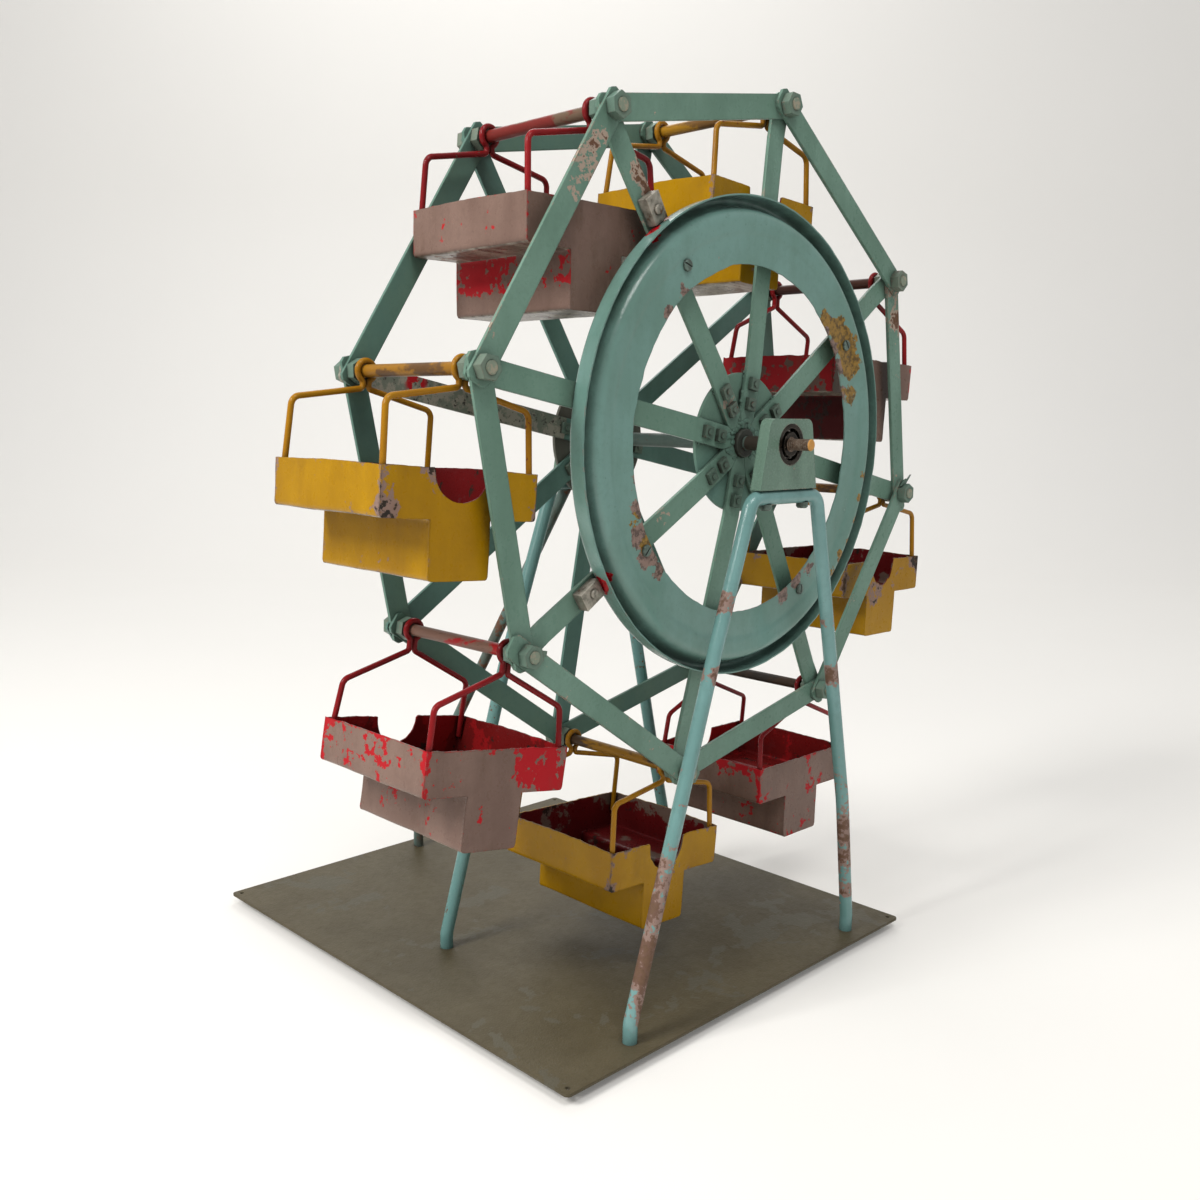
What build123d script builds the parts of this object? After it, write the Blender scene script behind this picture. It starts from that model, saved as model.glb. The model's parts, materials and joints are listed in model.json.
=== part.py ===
from build123d import *
import math
import os

# Tabletop Ferris wheel on a sheet base, hand made from flat bar, round rod,
# folded sheet and two small ball bearings.  Millimetres.
# X runs across the wheel, Y along the axle (front face looks towards -Y), Z up.
os.makedirs("parts", exist_ok=True)

# ------------------------------------------------------------------ driving sizes
R = 186.0                      # rod circle radius of the wheel
SEAT = 5.6                     # height of the foot nuts below the base plate
PLATE_T = 1.5                  # base plate sheet
AXLE_H = 1.657 * R             # axle above the top of the base plate
AZ = SEAT + PLATE_T + AXLE_H   # axle height above the table

# rod positions on the wheel: angle (deg, from +X towards +Z) and radius / R
ANG = [169.33, 122.79, 79.11, 32.39, -10.74, -57.78, -100.19, -146.94]
RAD = [0.9968, 1.0069, 0.9957, 0.9990, 0.9981, 0.9973, 1.0111, 0.9953]
# gondola on each rod: rim depth under the rod / R, lean (deg about +Y), kind
DROP = [0.244, 0.225, 0.233, 0.260, 0.247, 0.256, 0.229, 0.259]
LEAN = [4.3, 0.1, 3.4, 2.3, 0.7, 0.4, 3.2, 9.4]
FLAT = [True, True, True, False, True, False, True, False]    # shoulder shape
NOTCH_FRONT = [True, False, True, False, True, False, True, False]
NOTCH_D = [15.7, 14.0, 14.0, 15.0, 17.5, 15.0, 18.0, 15.0]
NOTCH_W = [16.0, 12.5, 14.5, 12.5, 13.5, 12.5, 14.5, 13.0]   # half widths

BAR_W = 12.7                   # flat bar width
BAR_T = 2.0                    # flat bar thickness
YF = 18.6                      # middle of the front bar stack
YB = 119.0                     # middle of the rear bar stack
ROD_R = 3.175                  # gondola rods, quarter inch
ROD_Y0, ROD_Y1 = 9.4, 128.2
NUT_AF, NUT_T = 11.1, 5.5      # rod nuts
AXLE_R = 4.0
STUB_R = 3.1
STUB_Y0 = -35.9                # front tip of the threaded stub
AXLE_Y1 = 140.0
BRG_OD, BRG_W = 22.0, 7.0      # ball bearings
BALL_R, BALL_PITCH, BALL_N = 1.95, 7.5, 9
BLK_YF, BLK_YR = -19.25, 134.1 # middle planes of the two bearing blocks
LEG_R = 3.97                   # frame rod, five sixteenths
BRACE_R = 3.6
HUB_R = 38.1                   # hub discs
HUB_T = 2.0
SPK_Y0 = 9.9                   # front face of the front spokes at the hub
DISC_F = SPK_Y0 + BAR_T        # front face of the front hub disc
DISC_R = YB + 3.0              # front face of the rear hub disc
COLLAR_R = 7.85
BOLT_R = 1.5
HUB_BOLT_RADII = (21.4, 32.5)
TUB_Y0, TUB_Y1 = 25.7, 113.4   # gondola end plates, outer faces
TUB_HW, WELL_HW = 45.9, 17.7   # half widths of tray and foot well
TRAY_H, TUB_H = 23.2, 51.7
SHEET = 0.9
WIRE_R = 1.55
LOOP_R = ROD_R + 0.35 + WIRE_R
HANG_YF, HANG_YR = 30.4, 107.4 # loop planes of the front and rear hangers
BASE_X0, BASE_X1 = -0.920 * R, 0.707 * R
BASE_Y0, BASE_Y1 = -0.177 * R, 1.600 * R

OUT = []                       # (name, list of solids)


def put(name, shapes):
    if not isinstance(shapes, (list, tuple)):
        shapes = [shapes]
    sol = []
    for s in shapes:
        sol += list(s.solids())
    OUT.append((name, sol))


def cyl(r, y0, y1, x=0.0, z=0.0):
    """Round bar along Y."""
    p = Plane(origin=(x, y0, z), x_dir=(1, 0, 0), z_dir=(0, 1, 0))
    return extrude(p * Circle(r), amount=y1 - y0)


def cylz(r, z0, z1, x, y):
    return Pos(x, y, z0) * extrude(Circle(r), amount=z1 - z0)


def prism_y(pts, y0, y1):
    """Prism along Y from a closed outline given as (x, z) points."""
    w = Polyline([(x, y0, z) for x, z in pts], close=True)
    f = make_face(w)
    return extrude(f, amount=y1 - y0, dir=(0, 1, 0))


def hexnut(af, y0, y1, x, z, turn=0.0, bore=0.0):
    p = Plane(origin=(x, y0, z), x_dir=(1, 0, 0), z_dir=(0, 1, 0))
    h = extrude(p * RegularPolygon(af / 2, 6, major_radius=False, rotation=turn), amount=y1 - y0)
    cone_r = af / 2 * 1.04
    # chamfered corners
    rev = cyl(cone_r + 0.12 * af, y0, y1, x, z)
    h = h & rev
    if bore:
        h = h - cyl(bore, y0 - 1, y1 + 1, x, z)
    return h


def route(points, radii):
    """Edges of a 3D path: straight runs joined by tangent arcs."""
    P = [Vector(*p) for p in points]
    edges = []
    cur = P[0]
    for i in range(1, len(P) - 1):
        a = (P[i - 1] - P[i]).normalized()
        b = (P[i + 1] - P[i]).normalized()
        ang = math.radians(a.get_angle(b))
        half = ang / 2
        r = radii[i - 1]
        d = r / math.tan(half)
        p1 = P[i] + a * d
        p2 = P[i] + b * d
        bis = (a + b).normalized()
        cen = P[i] + bis * (r / math.sin(half))
        mid = cen - bis * r
        edges.append(Line(cur, p1))
        edges.append(ThreePointArc(p1, mid, p2))
        cur = p2
    edges.append(Line(cur, P[-1]))
    return edges


def rod_along(edges, r):
    w = Wire(edges)
    start = w @ 0
    tan = w % 0
    prof = Plane(origin=start, z_dir=tan) * Circle(r)
    s = sweep(prof, path=w)
    return s


# ------------------------------------------------------------------ rod centres
PX = [RAD[k] * R * math.cos(math.radians(ANG[k])) for k in range(8)]
PZ = [AZ + RAD[k] * R * math.sin(math.radians(ANG[k])) for k in range(8)]

# ================================================================== STAND
# leg frames: one bent rod each, feet bent upright to pass through the plate
def leg_frame(y, pts, radii):
    edges = route([(x, y, z) for x, z in pts], radii)
    return rod_along(edges, LEG_R)


def zz(v):
    return AZ + v * R


TOPBAR = -(24.0 + LEG_R) / R     # the blocks stand on the top bars
front_pts = [(-0.606 * R, 0.3), (-0.606 * R, 17.0), (-0.289 * R, zz(-0.570)), (-0.150 * R, zz(TOPBAR)),
             (0.166 * R, zz(TOPBAR)), (0.415 * R, zz(-1.174)), (0.4835 * R, 17.0), (0.4835 * R, 0.3)]
rear_pts = [(-0.613 * R, 0.3), (-0.613 * R, 16.0), (-0.361 * R, zz(-0.738)), (-0.152 * R, zz(TOPBAR)),
            (0.134 * R, zz(TOPBAR)), (0.376 * R, zz(-1.134)), (0.503 * R, 16.0), (0.503 * R, 0.3)]
rad_leg = [12.0, 150.0, 8.5, 8.5, 150.0, 12.0]
front_leg = leg_frame(BLK_YF, front_pts, rad_leg)
rear_leg = leg_frame(BLK_YR, rear_pts, rad_leg)

# rear brace: butts on the rear top bar, runs back and down, upright at its foot
bt = Vector(-0.080 * R, BLK_YR, zz(TOPBAR))
knee = Vector(-0.125 * R, 1.500 * R, zz(-1.42))
foot_b = (-0.125 * R, 1.530 * R)
d_br = (knee - bt).normalized()
brace_edges = route([tuple(bt + d_br * 2.0), tuple(knee), (foot_b[0], foot_b[1], 24.0), (foot_b[0], foot_b[1], 0.3)],
                    [30.0, 30.0])
brace = rod_along(brace_edges, BRACE_R)
bar_x = Plane(origin=(-40, BLK_YR, zz(TOPBAR)), z_dir=(1, 0, 0)) * Circle(LEG_R + 0.004)
brace = brace - extrude(bar_x, amount=60)
brace = max(brace.solids(), key=lambda s: s.volume)

# block screws come up through the top bars into the blocks
SCR_X = {BLK_YF: (-0.085 * R, 0.095 * R), BLK_YR: (-0.030 * R, 0.090 * R)}
blk_z0, blk_z1 = AZ - 24.0, AZ + 13.6
screws = []
for y in (BLK_YF, BLK_YR):
    for x in SCR_X[y]:
        zb = zz(TOPBAR) - LEG_R
        head = Pos(x, y, zb - 1.9) * extrude(Circle(3.3), amount=2.4)
        dome = Pos(x, y, zb - 1.9) * extrude(Circle(3.3), amount=-1.0, taper=40)
        slot = Pos(x, y, zb - 2.7) * Box(8, 0.9, 1.2)
        shank = cylz(BOLT_R, zb - 1.0, blk_z0 + 9.0, x, y)
        screws.append(head + dome - slot + shank)
flat_z = zz(TOPBAR) - LEG_R + 0.5


def screw_holes(shape, y):
    for x in SCR_X[y]:
        shape = shape - cylz(BOLT_R, zz(TOPBAR) - LEG_R - 3, blk_z0 + 9.0, x, y)
        shape = shape - cylz(3.3, zz(TOPBAR) - LEG_R - 3, flat_z, x, y)
    return shape


front_leg = screw_holes(front_leg, BLK_YF)
rear_leg = screw_holes(rear_leg, BLK_YR)


def block(y):
    ymid = y
    pts = [(-25.3, blk_z0), (25.3, blk_z0), (18.3, blk_z1), (-18.3, blk_z1)]
    b = prism_y(pts, ymid - 3.5, ymid + 3.5)
    tops = b.edges().filter_by(Axis.Y).sort_by(Axis.Z)[-2:]
    b = fillet(tops, 5.0)
    b = b - cyl(BRG_OD / 2, ymid - 6, ymid + 6, 0, AZ)
    for x in SCR_X[y]:
        b = b - cylz(BOLT_R, blk_z0 - 2, blk_z0 + 9.0, x, ymid)
    return b


# ball bearings
def races(y):
    y0, y1 = y - BRG_W / 2, y + BRG_W / 2
    groove = Plane(origin=(0, y, AZ), x_dir=(1, 0, 0), z_dir=(0, 1, 0)) * Torus(BALL_PITCH, 2.06)
    outer = cyl(BRG_OD / 2, y0, y1, 0, AZ) - cyl(8.6, y0 - 1, y1 + 1, 0, AZ) - groove
    inner = cyl(6.4, y0, y1, 0, AZ) - cyl(AXLE_R, y0 - 1, y1 + 1, 0, AZ) - groove
    cage = cyl(8.05, y - 0.6, y + 0.6, 0, AZ) - cyl(6.95, y - 2, y + 2, 0, AZ)
    for i in range(BALL_N):
        a = 2 * math.pi * i / BALL_N + 0.2
        ball = Plane(origin=(BALL_PITCH * math.cos(a), y, AZ + BALL_PITCH * math.sin(a)),
                     x_dir=(math.cos(a), 0, math.sin(a)), z_dir=(0, 1, 0)) * Sphere(BALL_R)
        cage = cage + ball
    return outer, inner, cage


fo, fi, fc = races(BLK_YF)
ro, ri, rc = races(BLK_YR)

# base plate
bw, bd = BASE_X1 - BASE_X0, BASE_Y1 - BASE_Y0
bxc, byc = (BASE_X0 + BASE_X1) / 2, (BASE_Y0 + BASE_Y1) / 2
plate = Pos(bxc, byc, SEAT) * extrude(RectangleRounded(bw, bd, 3.0), amount=PLATE_T)
FEET = [(-0.606 * R, BLK_YF, LEG_R), (0.4835 * R, BLK_YF, LEG_R), (-0.613 * R, BLK_YR, LEG_R),
        (0.503 * R, BLK_YR, LEG_R), (foot_b[0], foot_b[1], BRACE_R)]
for x, y, r in FEET:
    plate = plate - cylz(r, SEAT - 1, SEAT + PLATE_T + 1, x, y)
HOLE_IN = 5.0
HOLE_R = 1.3
for sx in (-1, 1):
    for sy in (-1, 1):
        plate = plate - cylz(HOLE_R, SEAT - 1, SEAT + PLATE_T + 1, bxc + sx * (bw / 2 - HOLE_IN), byc + sy * (bd / 2 - HOLE_IN))
foot_nuts = []
for i, (x, y, r) in enumerate(FEET):
    n = Pos(x, y, 0) * extrude(RegularPolygon(6.35, 6, major_radius=False, rotation=11 * i), amount=SEAT)
    foot_nuts.append(n - cylz(r, -1, SEAT + 1, x, y))

put("base_plate", plate)
put("foot_nuts", foot_nuts)
put("front_leg_frame", front_leg)
put("rear_leg_frame", rear_leg)
put("rear_brace", brace)
put("front_bearing_block", block(BLK_YF))
put("rear_bearing_block", block(BLK_YR))
put("block_screws", screws)
put("front_bearing_outer_race", fo)
put("rear_bearing_outer_race", ro)
put("front_bearing_balls", fc)
put("rear_bearing_balls", rc)

# ================================================================== WHEEL
axle = cyl(AXLE_R, BLK_YF - 3.5, AXLE_Y1, 0, AZ) + cyl(STUB_R, STUB_Y0, BLK_YF, 0, AZ)
axle = chamfer(axle.edges().group_by(Axis.Y)[0], 0.5)
put("axle", axle)
put("front_bearing_inner_race", fi)
put("rear_bearing_inner_race", ri)


def collar(y0, y1):
    c = cyl(COLLAR_R, y0, y1, 0, AZ)
    c = chamfer(c.edges().group_by(Axis.Y)[0] + c.edges().group_by(Axis.Y)[-1], 0.6)
    return c - cyl(AXLE_R, y0 - 1, y1 + 1, 0, AZ)


put("front_hub_collar", collar(7.4, 23.5))
put("rear_hub_collar", collar(112.5, 126.5))


def bolt_spots():
    out = []
    for k in range(8):
        a = math.radians(ANG[k])
        for r in HUB_BOLT_RADII:
            out.append((k, r * math.cos(a), AZ + r * math.sin(a)))
    return out


def disc(y0):
    d = cyl(HUB_R, y0, y0 + HUB_T, 0, AZ) - cyl(COLLAR_R, y0 - 1, y0 + HUB_T + 1, 0, AZ)
    for k, x, z in bolt_spots():
        d = d - cyl(BOLT_R, y0 - 1, y0 + HUB_T + 1, x, z)
    return d


put("front_hub_disc", disc(DISC_F))
put("rear_hub_disc", disc(DISC_R))

# spokes: flat strips whose inner ends are cut to points that meet round the collar
SPK_END = [1.032, 1.036, 1.030, 1.034, 1.036, 1.033, 1.045, 1.034]


def spoke_outline(k):
    """(u, v) outline, u along the spoke."""
    prev = (ANG[(k - 1) % 8] - ANG[k]) % 360
    nxt = (ANG[k] - ANG[(k + 1) % 8]) % 360
    a1 = math.radians(prev / 2)      # towards +v
    a2 = math.radians(nxt / 2)       # towards -v
    w = BAR_W / 2
    rc = COLLAR_R + 0.15
    gap = 0.12
    u1 = (w + gap / math.cos(a1)) / math.tan(a1)
    u2 = (w + gap / math.cos(a2)) / math.tan(a2)
    s = rc * 1.03
    ue = SPK_END[k] * R
    v1 = s * math.sin(a1) - gap
    v2 = s * math.sin(a2) - gap
    return [(s * math.cos(a1), v1), (u1, w), (ue - 2.0, w), (ue, w - 2.0), (ue, -w + 2.0), (ue - 2.0, -w),
            (u2, -w), (s * math.cos(a2), -v2), (rc * 1.02, 0.0)]


def uv_to_xz(k, u, v):
    a = math.radians(ANG[k])
    return (u * math.cos(a) - v * math.sin(a), AZ + u * math.sin(a) + v * math.cos(a))


def spoke_y(u):
    """Front face of a front spoke at distance u from the axle."""
    u0, u1 = 0.22 * R, 0.90 * R
    y1 = YF + 1.0
    if u <= u0:
        return SPK_Y0
    if u >= u1:
        return y1
    return SPK_Y0 + (u - u0) / (u1 - u0) * (y1 - SPK_Y0)


def spoke_front(k):
    pts = [uv_to_xz(k, u, v) for u, v in spoke_outline(k)]
    pr = prism_y(pts, 0.0, 40.0)
    a = math.radians(ANG[k])
    us = [-2.0, 0.22 * R, 0.90 * R, 1.10 * R]
    prof = [(u, spoke_y(u)) for u in us] + [(u, spoke_y(u) + BAR_T) for u in reversed(us)]
    ux, uz = math.cos(a), math.sin(a)
    vx, vz = -math.sin(a), math.cos(a)
    w3 = Polyline([(u * ux - 20 * vx, y, AZ + u * uz - 20 * vz) for u, y in prof], close=True)
    f = make_face(w3)
    slab = extrude(f, amount=40, dir=(vx, 0, vz))
    s = pr & slab
    s = s - cyl(ROD_R, 0, 40, PX[k], PZ[k])
    for kk, x, z in bolt_spots():
        if kk == k:
            s = s - cyl(BOLT_R, 0, 30, x, z)
    return s


def spoke_rear(k):
    pts = [uv_to_xz(k, u, v) for u, v in spoke_outline(k)]
    s = prism_y(pts, DISC_R - BAR_T, DISC_R)
    s = s - cyl(ROD_R, YB - 10, YB + 10, PX[k], PZ[k])
    for kk, x, z in bolt_spots():
        if kk == k:
            s = s - cyl(BOLT_R, YB - 5, YB + 8, x, z)
    return s


# ring screws and brackets sit on these spokes
RING_SCREW = {1: 0.568 * R, 3: 0.569 * R, 5: 0.550 * R, 7: 0.530 * R}
BRACKET = {1: 0.7215 * R, 7: 0.7215 * R}

front_spokes = []
for k in range(8):
    s = spoke_front(k)
    if k in RING_SCREW:
        x, z = uv_to_xz(k, RING_SCREW[k], 0)
        s = s - cyl(BOLT_R, 0, 40, x, z)
    if k in BRACKET:
        x, z = uv_to_xz(k, BRACKET[k] + 1.5, 0)
        s = s - cyl(BOLT_R, 0, 40, x, z)
    front_spokes.append(s)
put("front_spokes", front_spokes)
put("rear_spokes", [spoke_rear(k) for k in range(8)])


def sq_nut(x, z, y0, y1, k, size=6.6):
    p = Plane(origin=(x, y0, z), x_dir=(math.cos(math.radians(ANG[k])), 0, math.sin(math.radians(ANG[k]))), z_dir=(0, 1, 0))
    n = extrude(p * Rectangle(size, size), amount=y1 - y0)
    return n - cyl(BOLT_R, y0 - 1, y1 + 1, x, z)


def hub_hardware(yf, disc_back):
    """Square nuts on the front of the spokes, pan heads behind the disc."""
    nuts, bolts = [], []
    for k, x, z in bolt_spots():
        nuts.append(sq_nut(x, z, yf - 2.5, yf, k))
        b = cyl(BOLT_R, yf - 3.3, disc_back, x, z) + cyl(2.9, disc_back, disc_back + 1.9, x, z)
        bolts.append(b)
    return nuts, bolts


nf, bf = hub_hardware(SPK_Y0, DISC_F + HUB_T)
nr, br = hub_hardware(DISC_R - BAR_T, DISC_R + HUB_T)
put("front_hub_nuts", nf)
put("front_hub_bolts", bf)
put("rear_hub_nuts", nr)
put("rear_hub_bolts", br)

# rim bars: lap over and under each other at the rods
EXT = {0: (8.0, 8.0), 1: (8.0, 8.0), 2: (8.0, 8.0), 3: (8.0, 13.0), 4: (8.0, 8.0), 5: (8.0, 8.0), 6: (8.0, 12.5), 7: (8.0, 8.0)}


def rim_bar(k, y0, ext):
    j = (k + 1) % 8
    ax, az_, bx, bz = PX[k], PZ[k], PX[j], PZ[j]
    L = math.hypot(bx - ax, bz - az_)
    ux, uz = (bx - ax) / L, (bz - az_) / L
    vx, vz = -uz, ux
    w = BAR_W / 2
    e0, e1 = ext

    def q(u, v):
        return (ax + u * ux + v * vx, az_ + u * uz + v * vz)
    c = 2.2
    pts = [q(-e0 + c, -w), q(L + e1 - c, -w), q(L + e1, -w + c), q(L + e1, w - c), q(L + e1 - c, w),
           q(-e0 + c, w), q(-e0, w - c), q(-e0, -w + c)]
    b = prism_y(pts, y0, y0 + BAR_T)
    for i in (k, j):
        b = b - cyl(ROD_R, y0 - 1, y0 + BAR_T + 1, PX[i], PZ[i])
    return b


front_bars, rear_bars = [], []
for k in range(8):
    layer = 0 if k % 2 == 0 else 1
    front_bars.append(rim_bar(k, YF - 3.0 + layer * BAR_T, EXT[k]))
    rear_bars.append(rim_bar(k, YB - 3.0 + layer * BAR_T, (8.0, 8.0)))
put("front_rim_bars", front_bars)
put("rear_rim_bars", rear_bars)

# rods and their nuts
put("gondola_rods", [cyl(ROD_R, ROD_Y0, ROD_Y1, PX[k], PZ[k]) for k in range(8)])
on, inn = [], []
TURN = [8, 22, 3, 17, 27, 12, 5, 19]
for k in range(8):
    x, z = PX[k], PZ[k]
    on.append(hexnut(NUT_AF, YF - 3.0 - NUT_T, YF - 3.0, x, z, TURN[k], ROD_R))
    on.append(hexnut(NUT_AF, YB + 3.0, YB + 3.0 + NUT_T, x, z, TURN[k] + 13, ROD_R))
    inn.append(hexnut(NUT_AF, YF + 3.0, YF + 3.0 + NUT_T, x, z, TURN[k] + 9, ROD_R))
    inn.append(hexnut(NUT_AF, YB - 3.0 - NUT_T, YB - 3.0, x, z, TURN[k] + 21, ROD_R))
put("outer_rod_nuts", on)
put("inner_rod_nuts", inn)

# pressed sheet ring with a belt channel, section given as (radius, y)
RING_T = 0.8
RING_MID = [(94.1, 5.9), (109.4, 5.9), (110.6, 5.1), (115.2, 5.0), (118.4, 4.3), (120.9, 5.8), (124.9, 15.3), (125.9, 15.85),
            (127.3, 15.85), (128.4, 14.9), (129.1, 5.2)]


def thicken(mid, t):
    """Closed outline of a bent sheet section from its middle line."""
    up, dn = [], []
    n = len(mid)
    for i, (r, y) in enumerate(mid):
        dirs = []
        for j in (i - 1, i):
            if 0 <= j < n - 1:
                dr, dy = mid[j + 1][0] - mid[j][0], mid[j + 1][1] - mid[j][1]
                L = math.hypot(dr, dy)
                dirs.append((dr / L, dy / L))
        nx = sum(-d[1] for d in dirs) / len(dirs)
        ny = sum(d[0] for d in dirs) / len(dirs)
        L2 = nx * nx + ny * ny
        nx, ny = nx / L2, ny / L2
        up.append((r + nx * t / 2, y + ny * t / 2))
        dn.append((r - nx * t / 2, y - ny * t / 2))
    return up + dn[::-1]


sec = thicken(RING_MID, RING_T)
wire = Polyline([(r, y, AZ) for r, y in sec], close=True)
ring = revolve(make_face(wire), Axis((0, 0, AZ), (0, 1, 0)))
for k, r in RING_SCREW.items():
    x, z = uv_to_xz(k, r, 0)
    ring = ring - cyl(BOLT_R, 0, 12, x, z)
put("rim_ring", ring)

rs, rn = [], []
for i, (k, r) in enumerate(RING_SCREW.items()):
    x, z = uv_to_xz(k, r, 0)
    yface = RING_MID[0][1] - RING_T / 2
    ys = spoke_y(r) + BAR_T
    head = cyl(3.1, yface - 1.8, yface, x, z)
    head = fillet(head.edges().group_by(Axis.Y)[0], 1.2)
    p = Plane(origin=(x, yface - 2.0, z), x_dir=(1, 0, 0), z_dir=(0, 1, 0))
    slot = extrude(p * Rectangle(8, 0.9, rotation=20 + 37 * i), amount=1.1)
    rs.append(head - slot + cyl(BOLT_R, yface - 0.4, ys + 4.0, x, z))
    rn.append(hexnut(5.5, ys + 0.3, ys + 2.7, x, z, 10 * i, BOLT_R))
put("ring_screws", rs)
put("ring_screw_nuts", rn)

# two square blocks bolted to spokes against the ring lip
brk, brb = [], []
for k, r in BRACKET.items():
    yt = spoke_y(r + 7.0)
    r0 = 129.6
    yfr = 11.6

    def P3(u, v, y, k=k):
        x, z = uv_to_xz(k, u, v)
        return (x, y, z)
    prof = [(r0, yfr), (r0 + 14.0, yfr), (r0 + 14.0, spoke_y(r0 + 14.0)), (r0, spoke_y(r0))]
    w3 = Polyline([P3(u, -5.0, y) for u, y in prof], close=True)
    a = math.radians(ANG[k])
    blk = extrude(make_face(w3), amount=10.0, dir=(-math.sin(a), 0, math.cos(a)))
    x, z = uv_to_xz(k, r + 1.5, 0)
    blk = blk - cyl(BOLT_R, 0, 40, x, z)
    brk.append(blk)
    yb2 = spoke_y(r + 1.5) + BAR_T
    hd = cyl(2.6, yfr - 1.4, yfr, x, z)
    hd = fillet(hd.edges().group_by(Axis.Y)[0], 0.9)
    brb.append(hd + cyl(BOLT_R, yfr - 0.5, yb2 + 1.5, x, z))
put("ring_blocks", brk)
put("ring_block_bolts", brb)

# ================================================================== GONDOLAS
def tub_shape(k):
    """Folded sheet tub in its own frame, rod centre at the origin."""
    z0 = -DROP[k] * R
    zt = z0 - TRAY_H
    zb = z0 - TUB_H
    h, w, t = TUB_HW, WELL_HW, SHEET
    outer = [(-h, z0), (h, z0), (h, zt), (w, zt), (w, zb), (-w, zb), (-w, zt), (-h, zt)]
    inner = [(-h + t, z0 + 5), (h - t, z0 + 5), (h - t, zt + t), (w - t, zt + t), (w - t, zb + t), (-w + t, zb + t),
             (-w + t, zt + t), (-h + t, zt + t)]
    s = prism_y(outer, TUB_Y0, TUB_Y1) - prism_y(inner, TUB_Y0 + t, TUB_Y1 - t)
    nd = NOTCH_D[k]
    half = NOTCH_W[k]
    npts = [(-half, z0 + 3), (half, z0 + 3)]
    for i in range(1, 24):
        a = math.pi * i / 24
        npts.append((half * math.cos(a), z0 - nd * math.sin(a) ** 0.9))
    if NOTCH_FRONT[k]:
        s = s - prism_y(npts, TUB_Y0 - 2, TUB_Y0 + t + 1)
    else:
        s = s - prism_y(npts, TUB_Y1 - t - 1, TUB_Y1 + 2)
    return s


def hanger_shape(k, y_loop, y_leg):
    """One bent wire: leg, shoulder, neck, loop over the rod, and back down."""
    z0 = -DROP[k] * R
    rho, r2, xn = LOOP_R, 2.3, 1.72
    # reverse arc outside the loop circle, ends vertical at x = -xn
    cx = -(xn + r2)
    cz = -math.sqrt((rho + r2) ** 2 - cx ** 2)
    tx, tz = cx * rho / (rho + r2), cz * rho / (rho + r2)
    s_len = 0.6 if FLAT[k] else 3.6
    zb_ = cz - s_len
    if FLAT[k]:
        bend = (-0.224 * R, -0.088 * R)
    else:
        bend = (-0.222 * R, -0.150 * R)
    # arc from vertical at (-xn, zb_) turning out to the shoulder direction
    c2 = (-(xn + r2), zb_)
    # tangent from circle (c2, r2) to the bend point
    dx, dz = bend[0] - c2[0], bend[1] - c2[1]
    D = math.hypot(dx, dz)
    base = math.atan2(dz, dx)
    off = math.acos(r2 / D)
    th = base + off               # touching point angle, lower side of the circle
    t_pt = (c2[0] + r2 * math.cos(th), c2[1] + r2 * math.sin(th))
    th_n = th % (2 * math.pi)     # in (pi, 2pi)
    a_mid = (th_n + 2 * math.pi) / 2
    m_pt = (c2[0] + r2 * math.cos(a_mid), c2[1] + r2 * math.sin(a_mid))
    legb = (-TUB_HW + SHEET + WIRE_R + 0.05, z0 - 12.0)

    def half(sgn):
        def V(p, y=y_loop):
            return Vector(sgn * -p[0] if sgn > 0 else p[0], y, p[1])
        e = route([tuple(V(legb, y_leg)), tuple(V(bend)), tuple(V(t_pt))], [5.0])
        e.append(ThreePointArc(V(t_pt), V(m_pt), V((-xn, zb_))))
        e.append(Line(V((-xn, zb_)), V((-xn, cz))))
        am = (math.atan2(-cz, -cx) + 0.0) / 2      # from 0 (towards the neck) to the loop side
        mid = (cx + r2 * math.cos(am), cz + r2 * math.sin(am))
        e.append(ThreePointArc(V((-xn, cz)), V(mid), V((tx, tz))))
        return e
    left = half(-1)
    right = half(1)
    loop = ThreePointArc(Vector(tx, y_loop, tz), Vector(0, y_loop, rho), Vector(-tx, y_loop, tz))
    edges = left + [loop] + list(reversed(right))
    w = Wire(edges)
    st = Vector(legb[0], y_leg, legb[1])
    b2 = Vector(bend[0], y_loop, bend[1])
    prof = Plane(origin=st, z_dir=(b2 - st)) * Circle(WIRE_R)
    return sweep(prof, path=w)


for k in range(8):
    place = Pos(PX[k], 0, PZ[k]) * Rot(0, LEAN[k], 0)
    t = tub_shape(k)
    hf = hanger_shape(k, HANG_YF, TUB_Y0 + SHEET + WIRE_R + 0.03)
    hr = hanger_shape(k, HANG_YR, TUB_Y1 - SHEET - WIRE_R - 0.03)
    put("tub_%d" % (k + 1), place * t)
    put("hangers_%d" % (k + 1), [place * hf, place * hr])

# ------------------------------------------------------------------ shared origin: bottom centre of everything
mins, maxs = [1e9] * 3, [-1e9] * 3
for name, sol in OUT:
    for s in sol:
        bb = s.bounding_box(optimal=True)
        for i, (a, b) in enumerate(zip((bb.min.X, bb.min.Y, bb.min.Z), (bb.max.X, bb.max.Y, bb.max.Z))):
            mins[i] = min(mins[i], a)
            maxs[i] = max(maxs[i], b)
shift = (-(mins[0] + maxs[0]) / 2, -(mins[1] + maxs[1]) / 2, -mins[2])
print("box", [round(b - a, 2) for a, b in zip(mins, maxs)], "shift", [round(v, 4) for v in shift])
print("axle at", [round(v, 4) for v in (shift[0], shift[1], AZ + shift[2])])
for k in range(8):
    print("rod", k + 1, round(PX[k] + shift[0], 4), round(PZ[k] + shift[2], 4))
print("base corners", round(BASE_X0 + shift[0], 3), round(BASE_X1 + shift[0], 3), round(BASE_Y0 + shift[1], 3), round(BASE_Y1 + shift[1], 3))
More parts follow.
